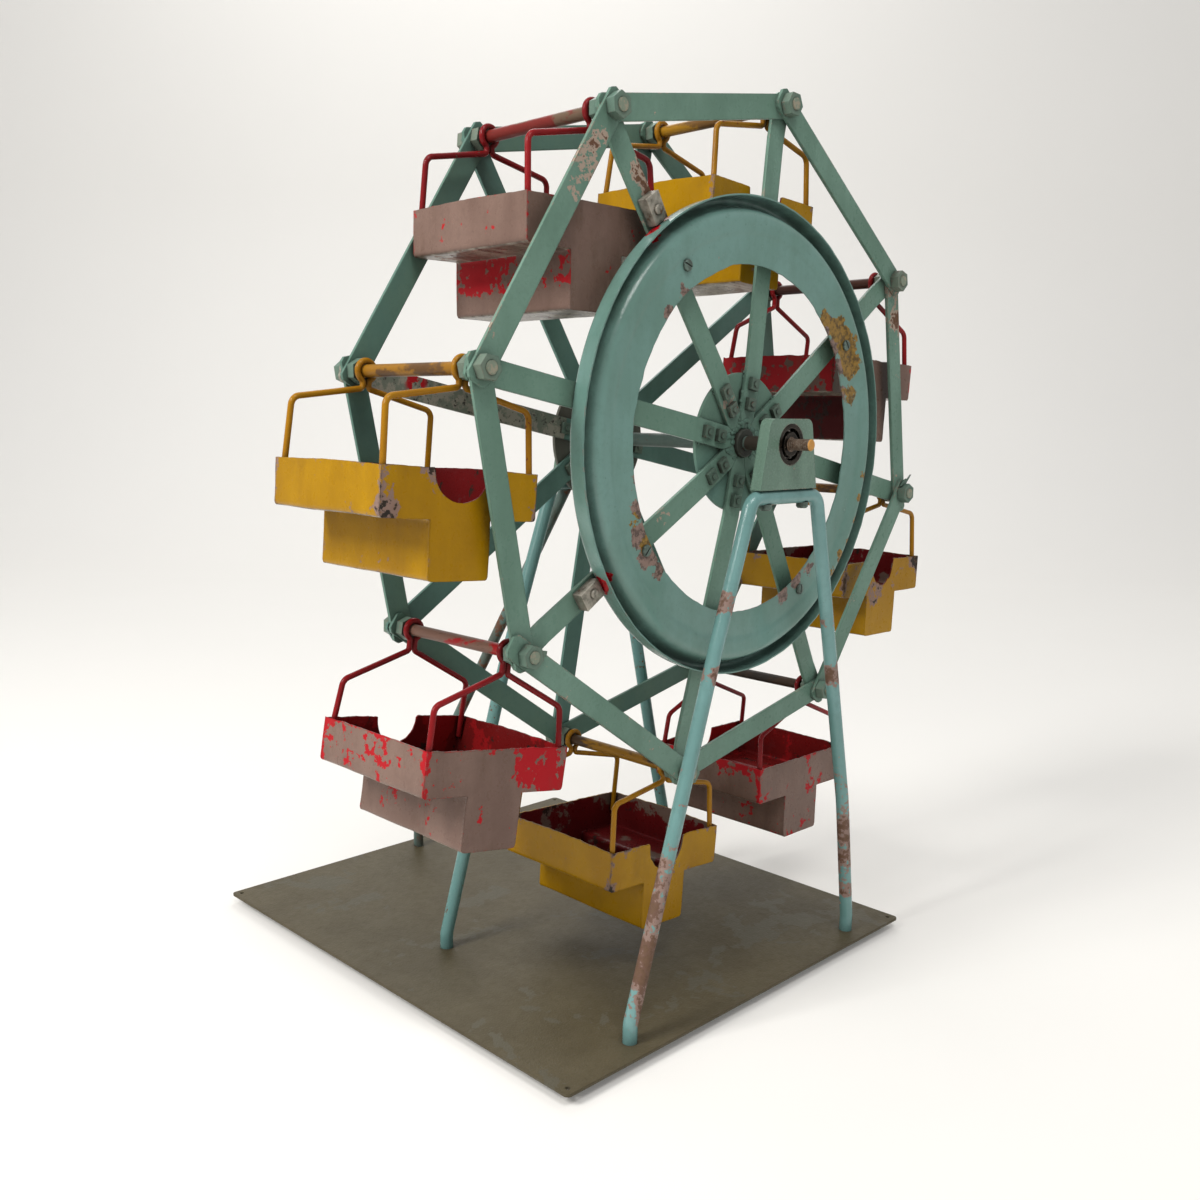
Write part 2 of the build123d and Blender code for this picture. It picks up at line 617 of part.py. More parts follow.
print("base holes centre", round(bxc + shift[0], 3), round(byc + shift[1], 3), "spacing", round(bw - 2 * HOLE_IN, 3), round(bd - 2 * HOLE_IN, 3))
for name, sol in OUT:
    moved = [Pos(*shift) * s for s in sol]
    shape = moved[0] if len(moved) == 1 else Compound(children=moved)
    export_step(shape, "parts/%s.step" % name)
print(len(OUT), "nodes")
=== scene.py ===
import bpy, bmesh, json, math, random
from mathutils import Vector, Matrix, noise as mnoise


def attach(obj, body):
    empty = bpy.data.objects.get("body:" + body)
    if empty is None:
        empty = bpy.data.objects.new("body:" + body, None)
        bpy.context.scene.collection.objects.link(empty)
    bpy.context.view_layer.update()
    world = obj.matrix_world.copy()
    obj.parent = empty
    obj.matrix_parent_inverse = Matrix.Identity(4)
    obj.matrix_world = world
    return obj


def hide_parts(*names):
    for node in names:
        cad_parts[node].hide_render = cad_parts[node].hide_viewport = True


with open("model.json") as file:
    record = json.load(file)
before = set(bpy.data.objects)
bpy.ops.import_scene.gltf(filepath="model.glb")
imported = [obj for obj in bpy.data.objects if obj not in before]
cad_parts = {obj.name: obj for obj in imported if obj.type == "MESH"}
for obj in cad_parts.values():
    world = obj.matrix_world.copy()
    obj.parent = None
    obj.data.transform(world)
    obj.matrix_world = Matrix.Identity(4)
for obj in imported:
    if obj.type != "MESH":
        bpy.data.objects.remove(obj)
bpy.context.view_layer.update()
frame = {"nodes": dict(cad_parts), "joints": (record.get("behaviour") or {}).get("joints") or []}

# ------------------------------------------------------------------ frame numbers (mm, same as the CAD)
R = 186.0
AZ = 5.6 + 1.5 + 1.657 * R
SX, SY, SZ = 2.6912, -130.85, 0.0
for j in frame["joints"]:
    if j["name"] == "wheel_spin":
        SX, SY = j["pos_m"][0] * 1000.0, j["pos_m"][1] * 1000.0 + 19.25
ANG = [169.33, 122.79, 79.11, 32.39, -10.74, -57.78, -100.19, -146.94]
RAD = [0.9968, 1.0069, 0.9957, 0.9990, 0.9981, 0.9973, 1.0111, 0.9953]
DROP = [0.244, 0.225, 0.233, 0.260, 0.247, 0.256, 0.229, 0.259]
LEAN = [4.3, 0.1, 3.4, 2.3, 0.7, 0.4, 3.2, 9.4]
FLAT = [True, True, True, False, True, False, True, False]
NOTCH_FRONT = [True, False, True, False, True, False, True, False]
NOTCH_D = [15.7, 14.0, 14.0, 15.0, 17.5, 15.0, 18.0, 15.0]
NOTCH_W = [16.0, 12.5, 14.5, 12.5, 13.5, 12.5, 14.5, 13.0]
PX = [RAD[k] * R * math.cos(math.radians(ANG[k])) for k in range(8)]
PZ = [AZ + RAD[k] * R * math.sin(math.radians(ANG[k])) for k in range(8)]


def W(x, y, z):
    """Millimetres from the axle's foot to metres in the shared frame."""
    return Vector(((x + SX) / 1000.0, (y + SY) / 1000.0, (z + SZ) / 1000.0))


def U(x, y, z):
    """Wheel radii from the axle to metres in the shared frame."""
    return W(x * R, y * R, AZ + z * R)


# ------------------------------------------------------------------ node helpers
class Tree:
    def __init__(self, name):
        self.m = bpy.data.materials.new(name)
        self.m.use_nodes = True
        self.nt = self.m.node_tree
        self.nt.nodes.clear()
        self.out = self.nt.nodes.new("ShaderNodeOutputMaterial")
        self.bsdf = self.nt.nodes.new("ShaderNodeBsdfPrincipled")
        self.nt.links.new(self.bsdf.outputs[0], self.out.inputs[0])
        self.co = self.nt.nodes.new("ShaderNodeTexCoord").outputs["Object"]
        self.geo = self.nt.nodes.new("ShaderNodeNewGeometry")

    def put(self, sock, v):
        if isinstance(v, bpy.types.NodeSocket):
            self.nt.links.new(v, sock)
        elif v is not None:
            if hasattr(sock.default_value, "__len__") and not hasattr(v, "__len__"):
                sock.default_value = (v, v, v, 1.0)[: len(sock.default_value)]
            elif hasattr(v, "__len__") and len(v) == 3 and len(sock.default_value) == 4:
                sock.default_value = (*v, 1.0)
            else:
                sock.default_value = v

    def math(self, op, a, b=None, c=None, clamp=False):
        n = self.nt.nodes.new("ShaderNodeMath")
        n.operation = op
        n.use_clamp = clamp
        for s, v in zip(n.inputs, (a, b, c)):
            if v is not None:
                self.put(s, v)
        return n.outputs[0]

    def mix(self, f, a, b):
        n = self.nt.nodes.new("ShaderNodeMix")
        n.data_type = "RGBA"
        self.put(n.inputs[0], f)
        self.put(n.inputs[6], a)
        self.put(n.inputs[7], b)
        return n.outputs[2]

    def mixf(self, f, a, b):
        n = self.nt.nodes.new("ShaderNodeMix")
        n.data_type = "FLOAT"
        self.put(n.inputs[0], f)
        self.put(n.inputs[2], a)
        self.put(n.inputs[3], b)
        return n.outputs[0]

    def step(self, x, lo, hi, a=0.0, b=1.0):
        n = self.nt.nodes.new("ShaderNodeMapRange")
        n.interpolation_type = "SMOOTHSTEP"
        self.put(n.inputs[0], x)
        for i, v in enumerate((lo, hi, a, b)):
            self.put(n.inputs[i + 1], v)
        return n.outputs[0]

    def vec(self, scale=(1, 1, 1), loc=(0, 0, 0), rot=(0, 0, 0), src=None):
        n = self.nt.nodes.new("ShaderNodeMapping")
        self.put(n.inputs[0], src if src is not None else self.co)
        n.inputs["Location"].default_value = loc
        n.inputs["Rotation"].default_value = rot
        n.inputs["Scale"].default_value = scale
        return n.outputs[0]

    def noise(self, scale, detail=4.0, rough=0.55, dist=0.0, vec=None):
        n = self.nt.nodes.new("ShaderNodeTexNoise")
        self.put(n.inputs["Vector"], vec if vec is not None else self.co)
        n.inputs["Scale"].default_value = scale
        n.inputs["Detail"].default_value = detail
        n.inputs["Roughness"].default_value = rough
        n.inputs["Distortion"].default_value = dist
        return n.outputs[0]

    def edge(self, radius=0.0012, lo=0.02, hi=0.16):
        b = self.nt.nodes.new("ShaderNodeBevel")
        b.samples = 4
        b.inputs[0].default_value = radius
        d = self.nt.nodes.new("ShaderNodeVectorMath")
        d.operation = "DOT_PRODUCT"
        self.nt.links.new(b.outputs[0], d.inputs[0])
        self.nt.links.new(self.geo.outputs["Normal"], d.inputs[1])
        return self.step(self.math("SUBTRACT", 1.0, d.outputs["Value"]), lo, hi), b.outputs[0]

    def ao(self, dist=0.008):
        n = self.nt.nodes.new("ShaderNodeAmbientOcclusion")
        n.samples = 4
        n.inputs["Distance"].default_value = dist
        return n.outputs["AO"]

    def ball(self, p, r, soft=0.5):
        """1 inside a ball round p (metres), falling to 0 at its edge."""
        d = self.nt.nodes.new("ShaderNodeVectorMath")
        d.operation = "DISTANCE"
        self.nt.links.new(self.co, d.inputs[0])
        d.inputs[1].default_value = tuple(p)
        return self.step(d.outputs["Value"], r * soft, r, 1.0, 0.0)

    def bump(self, h, dist, strength=1.0, normal=None):
        n = self.nt.nodes.new("ShaderNodeBump")
        n.inputs["Strength"].default_value = strength
        n.inputs["Distance"].default_value = dist
        self.put(n.inputs["Height"], h)
        if normal is not None:
            self.nt.links.new(normal, n.inputs["Normal"])
        return n.outputs[0]


MAUVE = (0.27, 0.20, 0.17)
MUSTARD = (0.26, 0.145, 0.018)
RUST = (0.075, 0.040, 0.022)
DARK = (0.025, 0.020, 0.016)


def paint(name, top, top2, chips=(), chip_scale=70.0, chip_at=0.72, edge_gain=0.10, rust=RUST, rust_at=0.80,
          rough=0.36, seed=0.0, spots=(), grime_and_shade=0.55, grain=0.0, edge_r=0.0012, extra=None, patch=None, patch_at=0.62,
          patch_scale=40.0, fine=0.5, spec=0.17, bias=None, thread=None):
    """Brushed-on paint over other coats: chips is a list of (colour, offset) revealed one under another."""
    t = Tree(name)
    off = (seed * 0.37, seed * 0.71, seed * 0.13)
    co = t.vec(loc=off)
    big = t.noise(18.0, 3.0, 0.5, vec=co)
    mid = t.noise(chip_scale, 7.0, 0.64, 0.2, vec=co)
    small = t.noise(chip_scale * 5.5, 5.0, 0.6, vec=co)
    field = t.math("ADD", t.math("MULTIPLY", mid, 0.62), t.math("MULTIPLY", small, 0.38))
    field = t.math("ADD", field, t.math("MULTIPLY", t.math("SUBTRACT", big, 0.5), 0.25))
    field = t.math("MULTIPLY", t.math("SUBTRACT", field, 0.5), 13.0)
    em, bn = t.edge(edge_r)
    field = t.math("ADD", field, t.math("MULTIPLY", em, edge_gain))
    for p, r, g in spots:
        field = t.math("ADD", field, t.math("MULTIPLY", t.ball(p, r), g))
    if bias is not None:
        field = t.math("ADD", field, bias(t))
    # top coat with soft mottling and streaks
    streak = t.noise(9.0, 4.0, 0.6, vec=t.vec(scale=(6.0, 6.0, 1.2), loc=off))
    col = t.mix(t.step(t.math("ADD", t.math("MULTIPLY", big, 0.6), t.math("MULTIPLY", streak, 0.4)), 0.38, 0.62), top, top2)
    cloud = t.noise(260.0, 4.0, 0.6, vec=co)
    col = t.mix(t.step(cloud, 0.45, 0.72, 0.0, 0.20), col, tuple(c * 0.72 for c in top))
    if patch is not None:
        pm = t.noise(patch_scale, 6.0, 0.66, 0.3, vec=t.vec(loc=(off[0] + 3.1, off[1], off[2])))
        col = t.mix(t.step(pm, patch_at, patch_at + 0.012), col, patch)
    masks = []
    for c, o in chips:
        m = t.step(field, chip_at + o, chip_at + o + 0.12)
        col = t.mix(m, col, c)
        masks.append(m)
    rm = t.step(t.math("ADD", field, t.math("MULTIPLY", t.math("SUBTRACT", small, 0.5), 3.0)), rust_at, rust_at + 0.2)
    rcol = t.mix(t.noise(300.0, 5.0, 0.7, vec=co), rust, tuple(c * 2.3 for c in rust))
    col = t.mix(rm, col, rcol)
    # grime and painted shade: darker in corners where ambient occlusion finds nearby surfaces, and fine dark pits
    ao = t.ao(0.010)
    g = t.math("MULTIPLY", t.step(ao, 0.35, 0.95, 1.0, 0.0), grime_and_shade)
    col = t.mix(t.math("MULTIPLY", g, t.step(mid, 0.3, 0.6, 0.5, 1.0)), col, DARK)
    pits = t.step(t.noise(900.0, 2.0, 0.5, vec=co), 0.70, 0.74)
    pits = t.math("MULTIPLY", pits, t.step(big, 0.42, 0.6, 0.15, 0.9))
    col = t.mix(t.math("MULTIPLY", pits, fine), col, tuple(c * 0.35 for c in top))
    if extra is not None:
        col = extra(t, col, field)
    t.put(t.bsdf.inputs["Base Color"], col)
    bare = masks[0] if masks else 0.0
    rr = t.math("ADD", t.math("MULTIPLY", t.math("SUBTRACT", cloud, 0.5), 0.25), rough)
    rr = t.mixf(bare, rr, 0.58)
    rr = t.mixf(rm, rr, 0.78)
    t.put(t.bsdf.inputs["Roughness"], t.math("MAXIMUM", rr, 0.12))
    t.bsdf.inputs["Specular IOR Level"].default_value = spec
    h = t.math("MULTIPLY", t.noise(140.0, 3.0, 0.55, vec=co), 0.30)
    h = t.math("ADD", h, t.math("MULTIPLY", streak, 0.25))
    h = t.math("ADD", h, t.math("MULTIPLY", t.noise(700.0, 2.0, 0.5, vec=co), 0.05 + grain))
    for m in masks:
        h = t.math("SUBTRACT", h, t.math("MULTIPLY", m, 0.16))
    h = t.math("SUBTRACT", h, t.math("MULTIPLY", rm, 0.14))
    h = t.math("SUBTRACT", h, t.math("MULTIPLY", pits, 0.06))
    nrm = t.bump(h, 0.0011, 0.55, bn)
    if thread is not None:
        nrm = threads(t, thread, nrm)
    t.put(t.bsdf.inputs["Normal"], nrm)
    return t.m


def threads(t, thread, nrm):
    y0, y1, pitch = thread
    w = t.nt.nodes.new("ShaderNodeTexWave")
    w.wave_type = "BANDS"
    w.bands_direction = "Y"
    w.wave_profile = "SIN"
    t.put(w.inputs["Vector"], t.co)
    w.inputs["Scale"].default_value = 1.0 / pitch / 3.18
    s = t.nt.nodes.new("ShaderNodeSeparateXYZ")
    t.nt.links.new(t.co, s.inputs[0])
    inside = t.math("MULTIPLY", t.math("GREATER_THAN", s.outputs[1], y0), t.math("LESS_THAN", s.outputs[1], y1))
    return t.bump(t.math("MULTIPLY", w.outputs["Fac"], inside), 0.0007, 1.0, nrm)


def metal(name, base, dark, rough=0.38, seed=0.0, rust=0.62, rust_col=(0.10, 0.05, 0.02), thread=None, metallic=0.9):
    t = Tree(name)
    co = t.vec(loc=(seed, seed * 0.4, seed * 0.7))
    n = t.noise(160.0, 6.0, 0.65, vec=co)
    f = t.noise(800.0, 3.0, 0.6, vec=co)
    col = t.mix(t.step(n, 0.35, 0.65), base, dark)
    em, bn = t.edge(0.0007)
    col = t.mix(t.math("MULTIPLY", em, 0.5), col, tuple(min(1.0, c * 1.7) for c in base))
    rm = t.step(t.math("ADD", t.math("MULTIPLY", n, 0.7), t.math("MULTIPLY", f, 0.3)), rust, rust + 0.06)
    col = t.mix(rm, col, rust_col)
    # painted shade: darkened towards DARK where ambient occlusion finds nearby surfaces
    g = t.step(t.ao(0.006), 0.3, 0.95, 0.8, 0.0)
    col = t.mix(g, col, DARK)
    t.put(t.bsdf.inputs["Base Color"], col)
    t.put(t.bsdf.inputs["Metallic"], t.mixf(rm, metallic, 0.15))
    t.put(t.bsdf.inputs["Roughness"], t.mixf(rm, t.math("ADD", rough, t.math("MULTIPLY", t.math("SUBTRACT", f, 0.5), 0.3)), 0.8))
    h = t.math("ADD", t.math("MULTIPLY", f, 0.3), t.math("MULTIPLY", rm, 0.2))
    nrm = t.bump(h, 0.0006, 0.5, bn)
    if thread is not None:
        y0, y1, pitch = thread
        w = t.nt.nodes.new("ShaderNodeTexWave")
        w.wave_type = "BANDS"
        w.bands_direction = "Y"
        w.wave_profile = "SIN"
        t.put(w.inputs["Vector"], t.co)
        w.inputs["Scale"].default_value = 1.0 / pitch / 3.18
        s = t.nt.nodes.new("ShaderNodeSeparateXYZ")
        t.nt.links.new(t.co, s.inputs[0])
        inside = t.math("MULTIPLY", t.math("GREATER_THAN", s.outputs[1], y0), t.math("LESS_THAN", s.outputs[1], y1))
        nrm = t.bump(t.math("MULTIPLY", w.outputs["Fac"], inside), 0.0006, 1.0, nrm)
    t.put(t.bsdf.inputs["Normal"], nrm)
    return t.m


GREEN, GREEN2 = (0.118, 0.208, 0.158), (0.155, 0.262, 0.205)
BLUE, BLUE2 = (0.130, 0.265, 0.250), (0.180, 0.345, 0.335)
TAN = (0.36, 0.28, 0.22)
BROWN = (0.13, 0.065, 0.040)
FLAKE = (0.24, 0.155, 0.125)
YEL, YEL2 = (0.385, 0.200, 0.001), (0.315, 0.156, 0.001)
GREY, GREY2 = (0.152, 0.094, 0.074), (0.208, 0.134, 0.107)
RED, RED2 = (0.40, 0.006, 0.012), (0.28, 0.008, 0.010)
WINE = (0.12, 0.010, 0.010)
M = {}


def rods_of(t, col, field):
    """Each gondola rod wears its own paint; its ends past the bars are bare and green."""
    tones = [(0.27, 0.125, 0.012), (0.16, 0.020, 0.016), (0.30, 0.150, 0.010), (0.055, 0.022, 0.016),
             (0.22, 0.100, 0.012), (0.045, 0.028, 0.018), (0.26, 0.125, 0.012), (0.20, 0.110, 0.080)]
    wear = [(0.11, 0.055, 0.020), (0.13, 0.085, 0.055), (0.14, 0.070, 0.020), (0.030, 0.018, 0.014),
            (0.09, 0.045, 0.020), (0.028, 0.022, 0.018), (0.06, 0.035, 0.020), (0.34, 0.012, 0.014)]
    n = t.noise(46.0, 5.0, 0.6, 0.3, vec=t.vec(scale=(1.0, 0.55, 1.0), loc=(0.9, 0.2, 0.4)))
    m = t.step(n, 0.50, 0.56)
    sep = t.nt.nodes.new("ShaderNodeSeparateXYZ")
    t.nt.links.new(t.co, sep.inputs[0])
    for k in range(8):
        d = t.nt.nodes.new("ShaderNodeVectorMath")
        d.operation = "DISTANCE"
        flat = t.nt.nodes.new("ShaderNodeCombineXYZ")
        t.nt.links.new(sep.outputs[0], flat.inputs[0])
        t.nt.links.new(sep.outputs[2], flat.inputs[2])
        t.nt.links.new(flat.outputs[0], d.inputs[0])
        c = W(PX[k], 0, PZ[k])
        d.inputs[1].default_value = (c[0], 0.0, c[2])
        near = t.math("LESS_THAN", d.outputs["Value"], 0.02)
        own = t.mix(m, tones[k], wear[k])
        col = t.mix(near, col, own)
    scr = t.step(t.noise(300.0, 4.0, 0.7, vec=t.vec(scale=(3.0, 0.5, 3.0))), 0.62, 0.68)
    col = t.mix(t.math("MULTIPLY", scr, 0.6), col, (0.035, 0.022, 0.014))
    y = sep.outputs[1]
    ends = t.math("MAXIMUM", t.math("LESS_THAN", y, (SY + 10.3) / 1000.0), t.math("GREATER_THAN", y, (SY + 127.3) / 1000.0))
    bare = t.mix(t.step(t.noise(500.0, 4.0, 0.6), 0.45, 0.6), (0.20, 0.24, 0.18), (0.30, 0.27, 0.20))
    return t.mix(ends, col, bare)


def axle_of(t, col, field):
    """Dirty sea green between the hubs, brown thread in front with a brassy tip."""
    sep = t.nt.nodes.new("ShaderNodeSeparateXYZ")
    t.nt.links.new(t.co, sep.inputs[0])
    y = sep.outputs[1]
    front = t.math("LESS_THAN", y, (SY + 6.0) / 1000.0)
    thread = t.mix(t.step(t.noise(420.0, 4.0, 0.7), 0.42, 0.62), (0.110, 0.070, 0.045), (0.19, 0.145, 0.11))
    col = t.mix(front, col, thread)
    behind = t.math("MULTIPLY", front, t.math("GREATER_THAN", y, (SY - 16.5) / 1000.0))
    col = t.mix(behind, col, (0.045, 0.036, 0.028))
    tip = t.math("LESS_THAN", y, (SY - 35.3) / 1000.0)
    return t.mix(tip, col, (0.55, 0.27, 0.07))


def ring_of(t, col, field):
    """The patches where older coats show."""
    for p, r, c in RING_PATCH:
        d = t.nt.nodes.new("ShaderNodeVectorMath")
        d.operation = "DISTANCE"
        t.nt.links.new(t.co, d.inputs[0])
        d.inputs[1].default_value = tuple(p)
        wob = t.math("ADD", t.math("MULTIPLY", t.noise(150.0, 6.0, 0.65), 0.016), t.math("MULTIPLY", t.noise(60.0, 4.0, 0.6), 0.014))
        m = t.step(t.math("ADD", d.outputs["Value"], t.math("SUBTRACT", wob, 0.015)), r - 0.0004, r + 0.0004, 1.0, 0.0)
        cc = t.mix(t.step(t.noise(380.0, 5.0, 0.7), 0.44, 0.60), c, tuple(v * 0.35 for v in c))
        col = t.mix(m, col, cc)
    return col


def pol(r, deg, y=5.5):
    a = math.radians(deg)
    return W(r * math.cos(a), y, AZ + r * math.sin(a))


RING_PATCH = [(pol(97.0, 44), 0.0050, FLAKE), (pol(96.5, 36), 0.0060, FLAKE), (pol(95.5, 27), 0.0055, FLAKE), (pol(94.5, 18), 0.0040, FLAKE),
              (pol(103.5, 39), 0.0075, MUSTARD), (pol(107.0, 32), 0.0095, MUSTARD), (pol(106.0, 25), 0.0088, MUSTARD), (pol(101.0, 17), 0.0050, MUSTARD),
              (pol(97.5, 47), 0.0040, MUSTARD), (pol(119.2, -10, 6), 0.0030, MUSTARD), (pol(118.0, -17, 6), 0.0028, MUSTARD),
              (pol(119.5, -24, 6), 0.0022, MUSTARD), (pol(119.8, -31, 6), 0.0036, MUSTARD), (pol(118.5, -36, 6), 0.0032, MUSTARD), (pol(117.0, -41, 6), 0.0022, MUSTARD),
              (pol(94.0, -168), 0.0040, FLAKE), (pol(95.5, -160), 0.0058, FLAKE), (pol(96.5, -152), 0.0072, FLAKE), (pol(97.5, -144), 0.0075, FLAKE),
              (pol(97.0, -138), 0.0055, FLAKE), (pol(98.0, -158.5), 0.0035, MUSTARD), (pol(96.5, -148), 0.0030, MUSTARD),
              (pol(95.5, 137), 0.0042, FLAKE), (pol(95.0, 128), 0.0034, FLAKE), (pol(96.5, -66), 0.0055, FLAKE), (pol(96.0, -58), 0.0060, FLAKE),
              (pol(96.5, -50), 0.0050, FLAKE), (pol(128.8, 126, 12), 0.0040, RED), (pol(128.8, 121, 12), 0.0022, RED), (pol(128.8, -147.5, 12), 0.0045, RED)]

LEG_SPOTS = ((U(-0.45, -0.104, -1.10), 0.055, 1.3), (U(-0.52, -0.104, -1.32), 0.050, 2.0), (U(-0.56, -0.104, -1.50), 0.030, 1.6),
             (U(0.435, -0.104, -1.20), 0.050, 1.5), (U(0.46, -0.104, -1.42), 0.040, 1.8), (U(0.31, -0.104, -0.72), 0.012, 2.4),
             (U(-0.25, -0.104, -0.44), 0.011, 2.2), (U(-0.30, -0.104, -0.64), 0.010, 2.2))
M["bars"] = paint("bars_green", GREEN, GREEN2, chips=((TAN, 0.0), (BROWN, 0.9)), chip_at=1.9, edge_gain=1.25, rust_at=4.0, rough=0.30, seed=1.0,
                  spots=((U(-0.64, 0.09, 0.70), 0.013, 2.6), (U(-0.60, 0.09, 0.77), 0.009, 1.8), (U(-0.68, 0.09, 0.63), 0.008, 1.8), (U(0.87, 0.10, 0.46), 0.022, 1.5), (U(0.90, 0.10, 0.38), 0.016, 1.5)))
M["bars_rear"] = paint("bars_rear_green", (0.10, 0.19, 0.155), GREEN, chips=((BROWN, 0.0),), chip_at=2.2, edge_gain=0.9, rust_at=3.6, rough=0.36, seed=2.0)
M["spokes"] = paint("spokes_green", GREEN, GREEN2, chips=((TAN, 0.0), (BROWN, 1.0)), chip_at=2.0, edge_gain=1.1, rust_at=4.0, rough=0.30, seed=3.0,
                    spots=((W(-75.9, 18, AZ + 133.5), 0.014, 2.6), (W(-72.0, 16, AZ + 118.0), 0.010, 2.0), (W(40.0, 16, AZ - 95.0), 0.012, 1.8), (W(-62.0, 14, AZ - 41.0), 0.010, 1.7),
                           (W(-12.0, 10, AZ + 20.0), 0.012, 1.4)))


def worn_spoke(t, col, field):
    """The left rear spoke has lost its green and is speckled grey with one red patch."""
    a, b = W(-41, 120, AZ + 8), W(-180, 120, AZ + 34)
    sep = t.nt.nodes.new("ShaderNodeSeparateXYZ")
    t.nt.links.new(t.co, sep.inputs[0])
    ax = (b - a).normalized()
    n = t.nt.nodes.new("ShaderNodeVectorMath")
    n.operation = "SUBTRACT"
    t.nt.links.new(t.co, n.inputs[0])
    n.inputs[1].default_value = tuple(a)
    d = t.nt.nodes.new("ShaderNodeVectorMath")
    d.operation = "DOT_PRODUCT"
    t.nt.links.new(n.outputs[0], d.inputs[0])
    d.inputs[1].default_value = (-ax[2], 0.0, ax[0])
    u = t.nt.nodes.new("ShaderNodeVectorMath")
    u.operation = "DOT_PRODUCT"
    t.nt.links.new(n.outputs[0], u.inputs[0])
    u.inputs[1].default_value = (ax[0], 0.0, ax[2])
    m = t.math("MULTIPLY", t.math("LESS_THAN", t.math("ABSOLUTE", d.outputs["Value"]), 0.010), t.math("GREATER_THAN", u.outputs["Value"], -0.01))
    g = t.mix(t.step(t.noise(90.0, 7.0, 0.7), 0.46, 0.54), (0.30, 0.285, 0.23), (0.17, 0.19, 0.15))
    g = t.mix(t.step(t.noise(260.0, 5.0, 0.75), 0.56, 0.62), g, (0.05, 0.045, 0.04))
    red = t.ball(W(-142, 118, AZ + 30), 0.009, 0.6)
    g = t.mix(t.math("MULTIPLY", red, t.step(t.noise(160.0, 4.0, 0.6), 0.46, 0.50)), g, RED)
    return t.mix(m, col, g)


M["spokes_rear"] = paint("spokes_rear_green", (0.095, 0.185, 0.155), (0.12, 0.225, 0.19), chips=((BROWN, 0.0),), chip_at=2.0, edge_gain=0.8, rust_at=3.6, rough=0.36, seed=4.0, extra=worn_spoke)
M["ring"] = paint("ring_green", (0.125, 0.235, 0.195), (0.155, 0.285, 0.250), chips=((FLAKE, 0.0), (BROWN, 1.2)), chip_at=2.6, edge_gain=1.5, rust_at=4.2, rough=0.22, seed=5.0, spec=0.45,
                  extra=ring_of, grain=0.04, edge_r=0.0008)
M["hub"] = paint("hub_green", GREEN, (0.115, 0.22, 0.185), chips=((TAN, 0.0), (BROWN, 1.0)), chip_at=2.6, edge_gain=0.8, rust_at=4.0, seed=6.0, grime_and_shade=0.9, grain=0.15)
M["hub_rear"] = paint("hub_rear_brown", (0.085, 0.075, 0.060), (0.105, 0.115, 0.095), chips=((BROWN, 0.0),), chip_at=1.6, rust_at=3.0, seed=7.0)
M["collar"] = paint("collar_dark", (0.050, 0.055, 0.045), (0.085, 0.105, 0.085), chips=((BROWN, 0.0),), chip_at=1.2, rust_at=2.6, rough=0.42, seed=7.5, grime_and_shade=0.9)
M["block"] = paint("block_green", (0.120, 0.200, 0.150), (0.155, 0.250, 0.190), spec=0.5, chips=((TAN, 0.0), (BROWN, 0.5)), chip_at=2.3, edge_gain=1.6, rust_at=3.8, rough=0.26, seed=8.0, grain=0.25,
                   spots=((W(0, -22.7, AZ), 0.0145, 1.3), (W(0, -22.7, AZ - 24), 0.016, 0.8)), grime_and_shade=0.8)
M["legs"] = paint("legs_blue", BLUE, BLUE2, chips=((FLAKE, 0.0), (BROWN, 0.9)), chip_at=1.70, edge_gain=0.0, rust_at=3.4, rough=0.17, spec=0.5, seed=9.0, chip_scale=62.0,
                  spots=LEG_SPOTS, grain=0.12)
M["legs_rear"] = paint("legs_rear_blue", (0.13, 0.25, 0.235), BLUE, chips=((BROWN, 0.0), (DARK, 1.1)), chip_at=1.2, edge_gain=0.0, rust_at=2.8, rough=0.26, seed=10.0)
M["brace"] = paint("brace_blue", (0.12, 0.22, 0.20), (0.075, 0.065, 0.05), chips=((BROWN, 0.0),), chip_at=0.7, edge_gain=0.0, rust_at=2.0, seed=11.0)
M["base"] = paint("base_grey", (0.082, 0.067, 0.038), (0.100, 0.083, 0.049), chips=(((0.19, 0.165, 0.125), 0.0),), chip_at=3.0, edge_gain=-1.0, rust_at=4.4, rough=0.46, seed=12.0, grime_and_shade=0.5,
                  patch=(0.097, 0.087, 0.060), patch_at=0.59, patch_scale=20.0, grain=0.35, fine=0.9)
M["wire_y"] = paint("wire_yellow", (0.36, 0.165, 0.006), (0.28, 0.120, 0.006), chips=((WINE, 0.0), (DARK, 1.2)), chip_at=1.5, edge_gain=0.0, rust_at=3.4, rough=0.20, seed=13.0, chip_scale=110.0)
M["wire_r"] = paint("wire_red", (0.25, 0.010, 0.012), (0.16, 0.008, 0.010), chips=(((0.10, 0.05, 0.035), 0.0),), chip_at=1.9, edge_gain=0.0, rust_at=3.2, rough=0.20, seed=14.0, chip_scale=110.0)
M["rods"] = paint("rods_worn", (0.17, 0.02, 0.016), (0.12, 0.018, 0.016), chips=(), edge_gain=0.0, rust_at=3.0, rough=0.34, seed=15.0, extra=rods_of)
M["nuts"] = paint("nuts_green", (0.110, 0.185, 0.145), (0.17, 0.20, 0.155), chips=(((0.20, 0.18, 0.14), 0.0), (BROWN, 0.9)), chip_at=1.3, edge_gain=1.2, rust_at=2.6, rough=0.36, seed=16.0, chip_scale=170.0, edge_r=0.0008, grime_and_shade=0.8, grain=0.3)
M["hubnuts"] = paint("hub_nuts_green", (0.085, 0.135, 0.105), (0.13, 0.17, 0.135), chips=((BROWN, 0.0),), chip_at=1.5, edge_gain=1.0, rust_at=2.4, rough=0.38, seed=16.5, chip_scale=200.0, edge_r=0.0006, grime_and_shade=1.0, grain=0.2)
M["steel"] = metal("worn_steel", (0.16, 0.14, 0.11), (0.07, 0.06, 0.05), seed=1.0)
